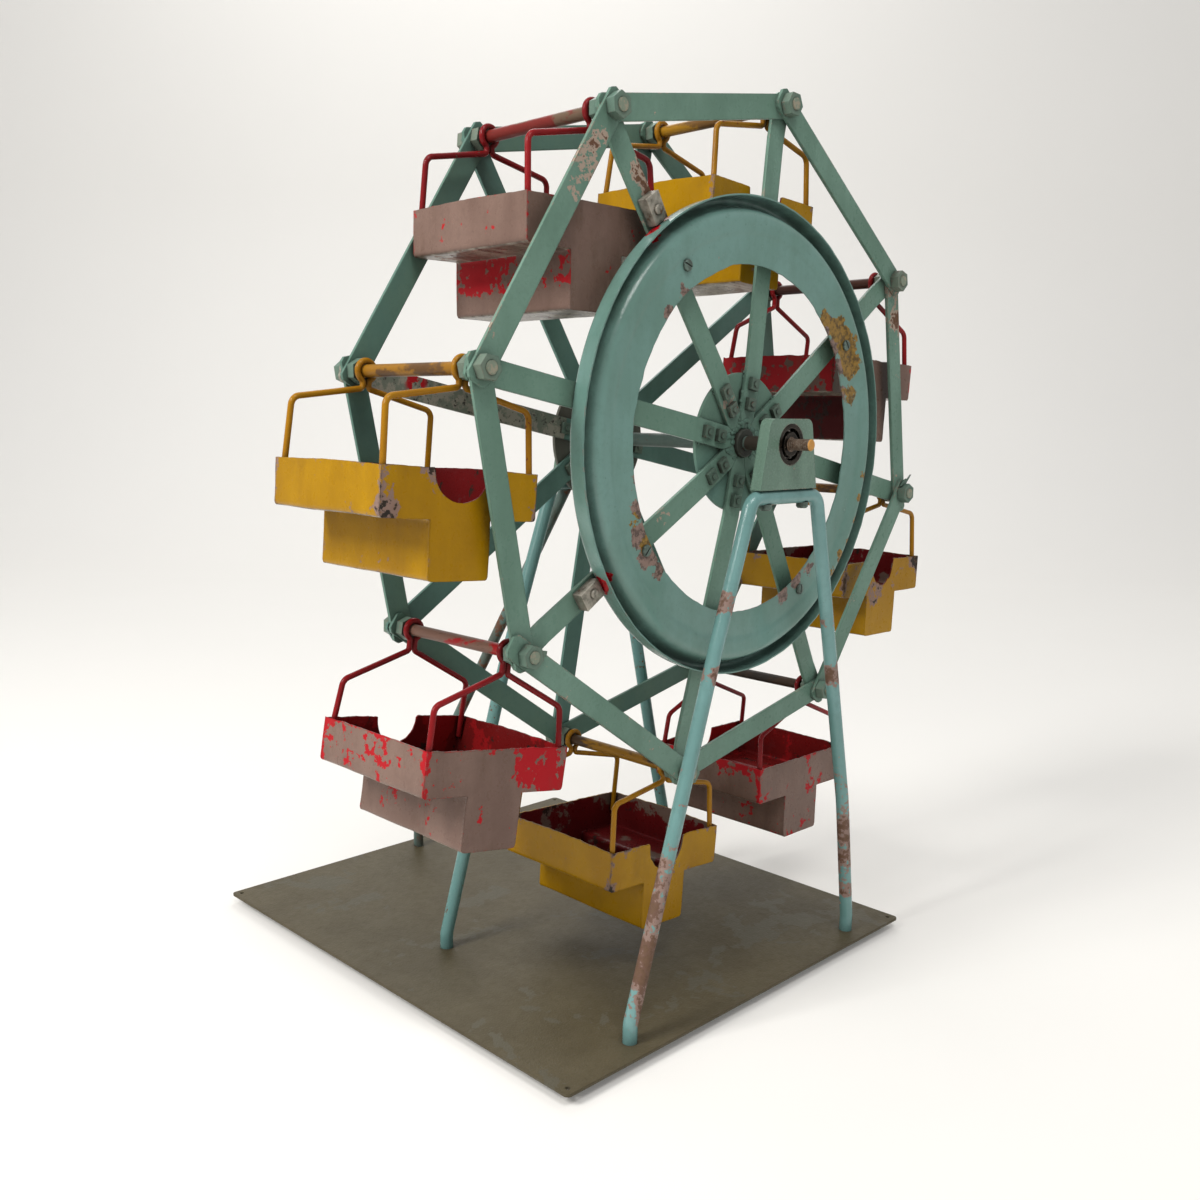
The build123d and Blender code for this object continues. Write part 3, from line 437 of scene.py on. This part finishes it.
M["blocks"] = metal("bare_blocks", (0.42, 0.385, 0.32), (0.17, 0.16, 0.13), rough=0.40, seed=2.0, rust=0.56, metallic=0.45)
M["axle"] = paint("axle_dirty", (0.075, 0.110, 0.095), (0.105, 0.150, 0.130), chips=((BROWN, 0.0),), chip_at=1.4, edge_gain=0.0, rust_at=2.6, rough=0.36, seed=17.0, extra=axle_of,
                  thread=((SY - 35.0) / 1000.0, (SY - 22.8) / 1000.0, 0.00127))
M["race"] = metal("bearing_steel", (0.06, 0.05, 0.04), (0.020, 0.018, 0.015), rough=0.22, seed=4.0, rust=0.60)
M["balls"] = metal("ball_steel", (0.42, 0.40, 0.36), (0.10, 0.09, 0.08), rough=0.12, seed=5.0, rust=0.75)
M["screws"] = metal("screw_steel", (0.13, 0.19, 0.16), (0.06, 0.075, 0.06), rough=0.40, seed=6.0, metallic=0.3)
# how far each tub's paint is gone: front face, left side, right side, rear face (in steps of the flake field)
FLAKED = {1: (-0.1, -0.5, 0.2, 0.1), 3: (-0.3, 1.9, 0.5, 0.3), 5: (0.3, 0.35, 0.4, 0.4), 7: (0.22, 0.22, 0.4, 0.3)}


def tub_paint(name, seed, kind, k):
    """Outside, inside and underside of a tub differ, told apart by the surface's place in the tub."""
    a = math.radians(LEAN[k])
    z0 = -DROP[k] * R
    if kind == "yellow":
        top, top2, inside, chip_at = YEL, YEL2, (0.13, 0.007, 0.008), 1.62
        coats = ((FLAKE, 0.0), (DARK, 0.9))
    else:
        top, top2, inside, chip_at = GREY, GREY2, (0.17, 0.008, 0.008), 1.35
        coats = ((RED, 0.0), (DARK, 3.4))

    def place(t):
        n = t.nt.nodes.new("ShaderNodeVectorMath")
        n.operation = "SUBTRACT"
        t.nt.links.new(t.co, n.inputs[0])
        n.inputs[1].default_value = tuple(W(PX[k], 0, PZ[k]))
        r = t.nt.nodes.new("ShaderNodeVectorRotate")
        r.rotation_type = "Y_AXIS"
        t.nt.links.new(n.outputs[0], r.inputs["Vector"])
        r.inputs["Angle"].default_value = -a
        s = t.nt.nodes.new("ShaderNodeSeparateXYZ")
        t.nt.links.new(r.outputs[0], s.inputs[0])
        return s

    def bias(t):
        """More wear near the rim, the corners and on the faces that lost most paint."""
        s = place(t)
        x, y, z = s.outputs
        rim = t.step(z, (z0 - 7.0) / 1000.0, z0 / 1000.0, 0.0, 0.5)
        corner = t.math("MULTIPLY", t.step(t.math("ABSOLUTE", x), 0.0405, 0.0459, 0.0, 1.0),
                        t.math("MAXIMUM", t.step(y, 0.0257, 0.0320, 1.0, 0.0), t.step(y, 0.107, 0.1134, 0.0, 1.0)))
        out = t.math("ADD", rim, t.math("MULTIPLY", corner, 1.5))
        nz = t.nt.nodes.new("ShaderNodeSeparateXYZ")
        t.nt.links.new(t.geo.outputs["Normal"], nz.inputs[0])
        if k in FLAKED:
            f, l, rr, b = FLAKED[k]
            for c, w in ((t.math("LESS_THAN", nz.outputs[1], -0.6), f), (t.math("LESS_THAN", nz.outputs[0], -0.6), l),
                         (t.math("GREATER_THAN", nz.outputs[0], 0.6), rr), (t.math("GREATER_THAN", nz.outputs[1], 0.6), b)):
                out = t.math("ADD", out, t.math("MULTIPLY", c, w))
        if k == 1:
            well = t.math("MULTIPLY", t.math("LESS_THAN", nz.outputs[0], -0.6), t.step(z, (z0 - 46.0) / 1000.0, (z0 - 38.0) / 1000.0, 0.0, 2.3))
            well = t.math("MULTIPLY", well, t.math("LESS_THAN", z, (z0 - 23.6) / 1000.0))
            out = t.math("ADD", out, well)
        if k == 7:
            spot = t.ball(W(PX[k] + 17, 25.7, PZ[k] + z0 - 12), 0.024, 0.3)
            out = t.math("ADD", out, t.math("MULTIPLY", spot, 2.1))
        for kk, dx, dz, rr_, g_ in ((0, -45, -16, 0.010, 1.9), (0, -44, -4, 0.010, 1.5), (0, -22, -2, 0.010, 1.3), (6, -45, -20, 0.009, 1.6), (6, 30, -3, 0.010, 1.2), (4, -10, -22, 0.014, 1.4), (4, 40, -3, 0.012, 1.6)):
            if kk == k:
                out = t.math("ADD", out, t.math("MULTIPLY", t.ball(W(PX[k] + dx, 26.2, PZ[k] + z0 + dz), rr_, 0.3), g_))
        return out

    def extra(t, col, field):
        s = place(t)
        x = t.math("ABSOLUTE", s.outputs[0])
        y, z = s.outputs[1], s.outputs[2]
        h, w, tt = 45.9e-3, 17.7e-3, 0.0005
        ymin, ymax = 25.7e-3, 113.4e-3
        # the sheet's own thickness side: inside faces look towards the tub's middle
        nrm = t.nt.nodes.new("ShaderNodeVectorRotate")
        nrm.rotation_type = "Y_AXIS"
        t.nt.links.new(t.geo.outputs["True Normal"], nrm.inputs["Vector"])
        nrm.inputs["Angle"].default_value = -a
        ns = t.nt.nodes.new("ShaderNodeSeparateXYZ")
        t.nt.links.new(nrm.outputs[0], ns.inputs[0])
        inx = t.math("GREATER_THAN", t.math("MULTIPLY", ns.outputs[0], s.outputs[0]), -0.5)
        inx = t.math("LESS_THAN", t.math("MULTIPLY", ns.outputs[0], t.math("SIGN", s.outputs[0])), -0.6)
        iny = t.math("LESS_THAN", t.math("MULTIPLY", ns.outputs[1], t.math("SIGN", t.math("SUBTRACT", y, 0.06955))), -0.6)
        inz = t.math("GREATER_THAN", ns.outputs[2], 0.6)
        low = t.math("LESS_THAN", z, (z0 - 2.5) / 1000.0)
        ins = t.math("MAXIMUM", t.math("MAXIMUM", inx, iny), t.math("MULTIPLY", inz, low))
        down = t.math("LESS_THAN", ns.outputs[2], -0.7)
        grey = t.noise(42.0, 7.0, 0.68, 0.2, vec=t.vec(loc=(seed, 4.0, 1.0)))
        rim = t.step(z, (z0 - 14.0) / 1000.0, z0 / 1000.0, 0.0, 0.10)
        grey = t.math("ADD", grey, rim)
        icol = t.mix(t.step(grey, 0.80 if k == 0 else 0.58, 0.82 if k == 0 else 0.60), inside, (0.17, 0.115, 0.090) if kind == "yellow" else (0.32, 0.010, 0.012))
        icol = t.mix(t.step(t.noise(120.0, 5.0, 0.6), 0.62, 0.66), icol, (0.030, 0.018, 0.014))
        # painted shade inside the tub: darker where the inner faces are occluded
        inside_shade = t.step(t.ao(0.05), 0.2, 0.9, 0.55, 0.0)
        icol = t.mix(inside_shade, icol, (0.020, 0.006, 0.005))
        col = t.mix(ins, col, icol)
        pale = t.mix(t.step(t.noise(34.0, 6.0, 0.7, vec=t.vec(scale=(1.0, 4.0, 1.0), loc=(seed, 0, 0))), 0.40, 0.58), (0.36, 0.32, 0.26), (0.11, 0.08, 0.06))
        col = t.mix(t.math("MULTIPLY", down, 0.85), col, pale)
        # painted shade on this tub's left (-X) outside faces: near-black red, strongest on the lower well
        if k == 3:
            side = t.math("MULTIPLY", t.math("LESS_THAN", ns.outputs[0], -0.6), t.step(z, (z0 - 25.0) / 1000.0, (z0 - 22.0) / 1000.0, 0.88, 0.35))
            col = t.mix(t.math("MULTIPLY", side, t.math("SUBTRACT", 1.0, ins)), col, (0.012, 0.002, 0.002))
        # brown stain runs and a little grime on the outside
        st = t.noise(20.0, 5.0, 0.65, vec=t.vec(scale=(1.6, 1.6, 0.7), loc=(seed * 1.3, 0, 0)))
        stm = t.math("MULTIPLY", t.step(st, 0.54, 0.72, 0.0, 0.28 if kind == "yellow" else 0.5), t.math("SUBTRACT", 1.0, ins))
        return t.mix(stm, col, (0.14, 0.065, 0.012) if kind == "yellow" else (0.095, 0.055, 0.035))
    return paint(name, top, top2, chips=coats, chip_at=chip_at, edge_gain=0.9 if kind == "yellow" else 0.7,
                 rust_at=4.2, rough=0.30, seed=seed, extra=extra, chip_scale=44.0 if kind == "red" else 58.0, grime_and_shade=0.6, bias=bias, grain=0.06)


# ------------------------------------------------------------------ CAD nodes take their finish
def give(node, mat):
    o = frame["nodes"][node]
    if not o.material_slots:
        o.data.materials.append(mat)
    for s in o.material_slots:
        s.material = mat


PLAIN = {"base_plate": "base", "foot_nuts": "steel", "front_leg_frame": "legs", "rear_leg_frame": "legs_rear", "rear_brace": "brace",
         "front_bearing_block": "block", "rear_bearing_block": "block", "block_screws": "screws", "front_bearing_outer_race": "race",
         "rear_bearing_outer_race": "race", "front_bearing_balls": "balls", "rear_bearing_balls": "balls", "axle": "axle",
         "front_bearing_inner_race": "race", "rear_bearing_inner_race": "race", "front_hub_collar": "collar", "rear_hub_collar": "hub_rear",
         "front_hub_disc": "hub", "rear_hub_disc": "hub_rear", "front_spokes": "spokes", "rear_spokes": "spokes_rear",
         "front_hub_nuts": "hubnuts", "front_hub_bolts": "hubnuts", "rear_hub_nuts": "hubnuts", "rear_hub_bolts": "hubnuts",
         "front_rim_bars": "bars", "rear_rim_bars": "bars_rear", "gondola_rods": "rods", "outer_rod_nuts": "nuts", "inner_rod_nuts": "nuts",
         "rim_ring": "ring", "ring_screws": "screws", "ring_screw_nuts": "screws", "ring_blocks": "blocks", "ring_block_bolts": "blocks"}
for n, m in PLAIN.items():
    give(n, M[m])
KIND = ["yellow", "red"] * 4
for k in range(8):
    give("hangers_%d" % (k + 1), M["wire_y" if KIND[k] == "yellow" else "wire_r"])
    give("tub_%d" % (k + 1), M["bars"])


# ------------------------------------------------------------------ hand-folded sheet tubs
def from_grid(bm, rows):
    """Quads over a grid of points; None leaves a gap."""
    vs = [[bm.verts.new(p) if p is not None else None for p in row] for row in rows]
    for r0, r1 in zip(vs, vs[1:]):
        for a, b, c, d in zip(r0, r0[1:], r1[1:], r1):
            if None not in (a, b, c, d):
                bm.faces.new((a, b, c, d))


def round_path(pts, radius, step):
    """Open (x, z) path with rounded corners, evenly split."""
    out = [Vector(pts[0])]
    for i in range(1, len(pts) - 1):
        p = Vector(pts[i])
        a, b = (Vector(pts[i - 1]) - p).normalized(), (Vector(pts[i + 1]) - p).normalized()
        out += [p + a * radius]
        for s in (0.25, 0.5, 0.75):
            q = (p + a * radius) * (1 - s) ** 2 + p * 2 * s * (1 - s) + (p + b * radius) * s * s
            out.append(q)
        out += [p + b * radius]
    out.append(Vector(pts[-1]))
    fine = [out[0]]
    for a, b in zip(out, out[1:]):
        n = max(1, int((b - a).length / step))
        for i in range(1, n + 1):
            fine.append(a.lerp(b, i / n))
    return fine


def sheet_object(name, bm, thick, body, nodes, mat, angle=38.0):
    bmesh.ops.recalc_face_normals(bm, faces=bm.faces)
    me = bpy.data.meshes.new(name)
    bm.to_mesh(me)
    bm.free()
    o = bpy.data.objects.new(name, me)
    bpy.context.collection.objects.link(o)
    if thick:
        so = o.modifiers.new("sheet", "SOLIDIFY")
        so.thickness = thick / 1000.0
        so.offset = 0.0
        so.use_even_offset = False
        bpy.context.view_layer.objects.active = o
        for q in bpy.context.selected_objects:
            q.select_set(False)
        o.select_set(True)
        bpy.ops.object.modifier_apply(modifier="sheet")
    for p in o.data.polygons:
        p.use_smooth = True
    o.data.set_sharp_from_angle(angle=math.radians(angle))
    o.data.materials.append(mat)
    if nodes:
        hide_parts(*nodes)
    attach(o, body)
    return o


def make_tub(k):
    z0, th = -DROP[k] * R, math.radians(LEAN[k])
    zt, zb, h, w, t = z0 - 23.2, z0 - 51.7, 45.9, 17.7, 0.9
    y0, y1 = 25.7, 113.4
    rnd = random.Random(40 + k)
    crown_side, crown_end = rnd.uniform(0.4, 1.1), rnd.uniform(-0.2, 0.5)
    rough_rim = 0.55 if k in (3, 4, 5, 6, 7) else 0.18
    seed = Vector((k * 7.3, k * 3.1, 0.0))

    def rimz(s, amp):
        return amp * mnoise.noise(Vector((s * 0.16, k * 5.0, 1.0))) + amp * 0.6 * mnoise.noise(Vector((s * 0.55, k * 5.0, 7.0)))

    def out(x, y, z):
        q = Vector((x, y, z))
        d = mnoise.noise_vector(q / 30.0 + seed) * 0.55 + mnoise.noise_vector(q / 9.0 + seed) * 0.12
        q = q + Vector((d.x, d.y * 0.8, d.z * 0.6))
        q.y = min(max(q.y, y0 + t / 2 - 0.5), y1 - t / 2 + 0.5)
        return W(PX[k] + q.x * math.cos(th) + q.z * math.sin(th), q.y, PZ[k] - q.x * math.sin(th) + q.z * math.cos(th))

    bm = bmesh.new()
    m = t / 2
    path = round_path([(-h + m, z0), (-h + m, zt + m), (-w + m, zt + m), (-w + m, zb + m), (w - m, zb + m), (w - m, zt + m), (h - m, zt + m), (h - m, z0)], 1.9, 2.4)
    ys = [y0 + m + (y1 - y0 - 2 * m) * i / 36 for i in range(37)]
    rows = []
    for y in ys:
        row = []
        s = (y - y0) / (y1 - y0)
        for p in path:
            z = p[1]
            if z > z0 - 0.01:
                z += crown_side * math.sin(math.pi * s) - 0.3 + rimz(y + (50 if p[0] > 0 else 0), rough_rim)
            row.append(out(p[0], y, z))
        rows.append(row)
    from_grid(bm, rows)
    nd, nw = NOTCH_D[k], NOTCH_W[k]
    ragged = {4: 1.5, 6: 1.3, 3: 0.8, 5: 0.9, 7: 0.9}.get(k, 0.25)
    rc = 1.9
    for front in (True, False):
        y = y0 + m if front else y1 - m
        notched = NOTCH_FRONT[k] == front
        xs = sorted(set([round(-h + 2 * h * i / 72, 4) for i in range(73)] + [-w, w, -w + 0.6, w - 0.6, -h + 0.4, h - 0.4, -h + 1.0, h - 1.0]
                        + ([-nw + 0.02, nw - 0.02, -nw + 0.5, nw - 0.5, -nw + 1.3, nw - 1.3] if notched else [])))
        rows_up, rows_dn = [], []
        for x in xs:
            top = z0 + crown_end * math.cos(math.pi * x / (2 * h)) - 0.3 + rimz(x + (200 if front else 300), rough_rim)
            if notched and abs(x) < nw:
                cut = nd * math.sqrt(max(0.0, 1 - (x / nw) ** 2)) ** 0.9
                cut += ragged * (mnoise.noise(Vector((x * 0.35, k * 2.0, 3.0))) + 0.6 * mnoise.noise(Vector((x * 1.1, k * 2.0, 5.0))))
                top = min(top, z0 - cut)
            e = abs(x) - (h - rc)
            bot = zt + (rc - math.sqrt(max(0.0, rc * rc - e * e)) if e > 0 else 0.0)
            rows_up.append([out(x, y, bot + (top - bot) * i / 12) for i in range(13)])
            if abs(x) <= w + 1e-6:
                e = abs(x) - (w - rc)
                lo_ = zb + (rc - math.sqrt(max(0.0, rc * rc - e * e)) if e > 0 else 0.0)
                rows_dn.append([out(x, y, lo_ + (zt - lo_) * i / 12) for i in range(13)])
        from_grid(bm, rows_up)
        from_grid(bm, rows_dn)
    bmesh.ops.remove_doubles(bm, verts=bm.verts, dist=2e-6)
    name = "tub_skin_%d" % (k + 1)
    return sheet_object(name, bm, 0.9, "gondola_%d" % (k + 1), ["tub_%d" % (k + 1)], tub_paint("tub_paint_%d" % (k + 1), 20.0 + 1.7 * k, KIND[k], k))


for k in range(8):
    make_tub(k)

# ------------------------------------------------------------------ pressed ring with a hand-cut inner edge
MID = [(94.1, 5.9), (109.4, 5.9), (110.6, 5.1), (115.2, 5.0), (118.4, 4.3), (120.9, 5.8), (124.9, 15.3), (125.9, 15.85), (127.3, 15.85), (128.4, 14.9), (129.1, 5.2)]
prof = []
for a, b in zip(MID, MID[1:]):
    n = max(2, int(math.hypot(b[0] - a[0], b[1] - a[1]) / 1.4))
    for i in range(n):
        prof.append((a[0] + (b[0] - a[0]) * i / n, a[1] + (b[1] - a[1]) * i / n))
prof.append(MID[-1])
for _ in range(2):
    prof = [prof[0]] + [((p[0] + 2 * q[0] + s[0]) / 4, (p[1] + 2 * q[1] + s[1]) / 4) for p, q, s in zip(prof, prof[1:], prof[2:])] + [prof[-1]]
bm = bmesh.new()
NA = 288
rows = []
for i in range(NA):
    a = 2 * math.pi * i / NA
    c, s = math.cos(a), math.sin(a)
    edge = 0.9 * mnoise.noise(Vector((c * 4.0, s * 4.0, 2.0))) + 0.45 * mnoise.noise(Vector((c * 16.0, s * 16.0, 4.0)))
    wave = 0.25 * mnoise.noise(Vector((c * 2.0, s * 2.0, 9.0)))
    lip = 0.35 * mnoise.noise(Vector((c * 20.0, s * 20.0, 6.0)))
    row = []
    for j, (r_, y_) in enumerate(prof):
        f = max(0.0, 1 - (r_ - 94.1) / 6.0)
        g = max(0.0, (r_ - 128.6) / 0.5) if j == len(prof) - 1 else 0.0
        row.append(W((r_ + edge * f) * c, y_ + wave * 0.5 + (lip * 1.0 if j >= len(prof) - 1 else 0.0), AZ + (r_ + edge * f) * s))
    rows.append(row)
rows.append(rows[0])
from_grid(bm, rows)
bmesh.ops.remove_doubles(bm, verts=bm.verts, dist=2e-6)
give("rim_ring", M["bars"])
sheet_object("ring_skin", bm, 0.8, "wheel", ["rim_ring"], M["ring"], 50.0)


# ------------------------------------------------------------------ solder lumps round the hub and two stray tabs
def lump(bm, p, size, seed):
    geo = bmesh.ops.create_icosphere(bm, subdivisions=3, radius=1.0)
    for v in geo["verts"]:
        n = v.co.normalized()
        f = 1.0 + 0.28 * mnoise.noise(n * 1.6 + Vector((seed, 0, 0))) + 0.10 * mnoise.noise(n * 5.0 + Vector((0, seed, 0)))
        v.co = Vector((n.x * size[0], n.y * size[1], n.z * size[2])) * f / 1000.0 + W(*p)


bm = bmesh.new()
rnd = random.Random(7)
for i in range(26):
    a = rnd.uniform(0, 2 * math.pi)
    r_ = rnd.uniform(8.6, 14.5)
    lump(bm, (r_ * math.cos(a), 10.0, AZ + r_ * math.sin(a)), (rnd.uniform(1.2, 2.6), rnd.uniform(0.5, 0.95), rnd.uniform(1.0, 2.2)), i * 1.7)
a2 = math.radians(ANG[2])
for i in range(11):
    u_ = 10.0 + i * 1.7
    lump(bm, (u_ * math.cos(a2) - 6.4 * math.sin(a2), 10.6 + rnd.uniform(-0.3, 0.3), AZ + u_ * math.sin(a2) + 6.4 * math.cos(a2)),
         (rnd.uniform(0.8, 1.5), rnd.uniform(0.7, 1.1), rnd.uniform(0.9, 1.5)), 50 + i)
for k in range(8):
    a = math.radians(ANG[k])
    for i in range(3):
        u_ = 35.5 + i * 1.2
        v_ = (-1) ** i * 6.3
        lump(bm, (u_ * math.cos(a) - v_ * math.sin(a), 11.6, AZ + u_ * math.sin(a) + v_ * math.cos(a)), (0.9, 0.55, 0.9), 90 + i + k)
sheet_object("hub_solder", bm, 0, "wheel", [], M["hub"], 80.0)


def tab(bm, pts, y0, y1, twist=0.0):
    c = sum((Vector(p) for p in pts), Vector((0, 0))) / len(pts)
    ring0 = [bm.verts.new(W(p[0], y0 + twist * (p[1] - c[1]), p[1])) for p in pts]
    ring1 = [bm.verts.new(W(p[0], y1 + twist * (p[1] - c[1]), p[1])) for p in pts]
    bm.faces.new(ring0)
    bm.faces.new(list(reversed(ring1)))
    n = len(pts)
    for i in range(n):
        bm.faces.new((ring0[i], ring1[i], ring1[(i + 1) % n], ring0[(i + 1) % n]))


bm = bmesh.new()
x4, z4 = PX[4], PZ[4]
tab(bm, [(x4 - 5.0, z4 + 4.6), (x4 + 0.5, z4 + 5.9), (x4 + 5.6, z4 + 12.2), (x4 + 2.2, z4 + 8.6), (x4 + 0.6, z4 + 9.6), (x4 - 2.6, z4 + 7.6)], 13.0, 14.3, -0.10)
x7, z7 = PX[7], PZ[7]
tab(bm, [(x7 + 5.4, z7 - 2.0), (x7 + 10.4, z7 - 1.2), (x7 + 11.2, z7 + 1.4), (x7 + 5.0, z7 + 2.6)], 13.2, 14.4, 0.10)
sheet_object("stray_tabs", bm, 0, "wheel", [], M["nuts"], 30.0)

# ------------------------------------------------------------------ stage, light and camera
bpy.ops.mesh.primitive_plane_add(size=1)
floor = bpy.context.object
floor.name = "floor"
bm = bmesh.new()
N = 24
prof = [(-6.0, 0.0), (1.6, 0.0)]
for i in range(1, N + 1):
    a = math.pi / 2 * i / N
    prof.append((1.6 + 0.9 * math.sin(a), 0.9 - 0.9 * math.cos(a)))
prof.append((2.5, 5.0))
yaw = math.radians(44.30)
rows = []
for d, z in prof:
    rows.append([bm.verts.new((math.sin(yaw) * d + math.cos(yaw) * s, math.cos(yaw) * d - math.sin(yaw) * s, z)) for s in (-7.0, 7.0)])
for a, b in zip(rows, rows[1:]):
    bm.faces.new((a[0], a[1], b[1], b[0]))
bm.to_mesh(floor.data)
bm.free()
for p in floor.data.polygons:
    p.use_smooth = True
t = Tree("pale_floor")
t.put(t.bsdf.inputs["Base Color"], t.mix(t.noise(3.0, 3.0, 0.5), (0.80, 0.785, 0.755), (0.82, 0.805, 0.775)))
t.bsdf.inputs["Roughness"].default_value = 0.75
t.bsdf.inputs["Emission Color"].default_value = (1.0, 0.985, 0.955, 1.0)
t.bsdf.inputs["Emission Strength"].default_value = 0.10
floor.data.materials.clear()
floor.data.materials.append(t.m)
bpy.context.scene.view_settings.view_transform = "Standard"

world = bpy.data.worlds.new("studio")
bpy.context.scene.world = world
world.use_nodes = True
world.node_tree.nodes["Background"].inputs[0].default_value = (0.98, 0.985, 1.0, 1.0)
world.node_tree.nodes["Background"].inputs[1].default_value = 0.46


def lamp(name, loc, target, size, power, col=(1, 1, 1)):
    d = bpy.data.lights.new(name, "AREA")
    d.shape = "RECTANGLE"
    d.size, d.size_y = size
    d.energy = power
    d.color = col
    o = bpy.data.objects.new(name, d)
    bpy.context.collection.objects.link(o)
    o.location = loc
    o.rotation_mode = "QUATERNION"
    o.rotation_quaternion = (Vector(target) - Vector(loc)).to_track_quat("-Z", "Y")
    return o


lamp("key_left", (-1.35, 0.15, 1.25), (0, 0, 0.28), (0.45, 0.60), 22, (1.0, 0.985, 0.96))
lamp("key_top", (-0.45, -0.85, 1.75), (0, 0, 0.25), (0.7, 0.55), 11, (1.0, 0.99, 0.97))
lamp("back_soft", (1.3, 1.6, 2.2), (1.2, 1.4, 0.2), (1.6, 1.2), 17, (1.0, 0.995, 0.98))

cam_d = bpy.data.cameras.new("camera")
cam = bpy.data.objects.new("camera", cam_d)
bpy.context.collection.objects.link(cam)
bpy.context.scene.camera = cam
yaw, pitch, roll = math.radians(44.30), math.radians(-11.5454), math.radians(0.7619)
f = Vector((math.sin(yaw) * math.cos(pitch), math.cos(yaw) * math.cos(pitch), math.sin(pitch)))
r = Vector((math.cos(yaw), -math.sin(yaw), 0.0))
u = r.cross(f)
r2 = math.cos(roll) * r + math.sin(roll) * u
u2 = -math.sin(roll) * r + math.cos(roll) * u
mat = Matrix((r2, u2, -f)).transposed().to_4x4()
mat.translation = U(-2.8299, -2.1351, 0.0791)
cam.matrix_world = mat
cam_d.sensor_fit = "AUTO"
cam_d.sensor_width = 36.0
cam_d.lens = 1166.29 * 36.0 / 1200.0
cam_d.shift_x = (600.0 - 573.81) / 1200.0
cam_d.shift_y = (651.94 - 600.0) / 1200.0
cam_d.clip_start, cam_d.clip_end = 0.02, 50.0
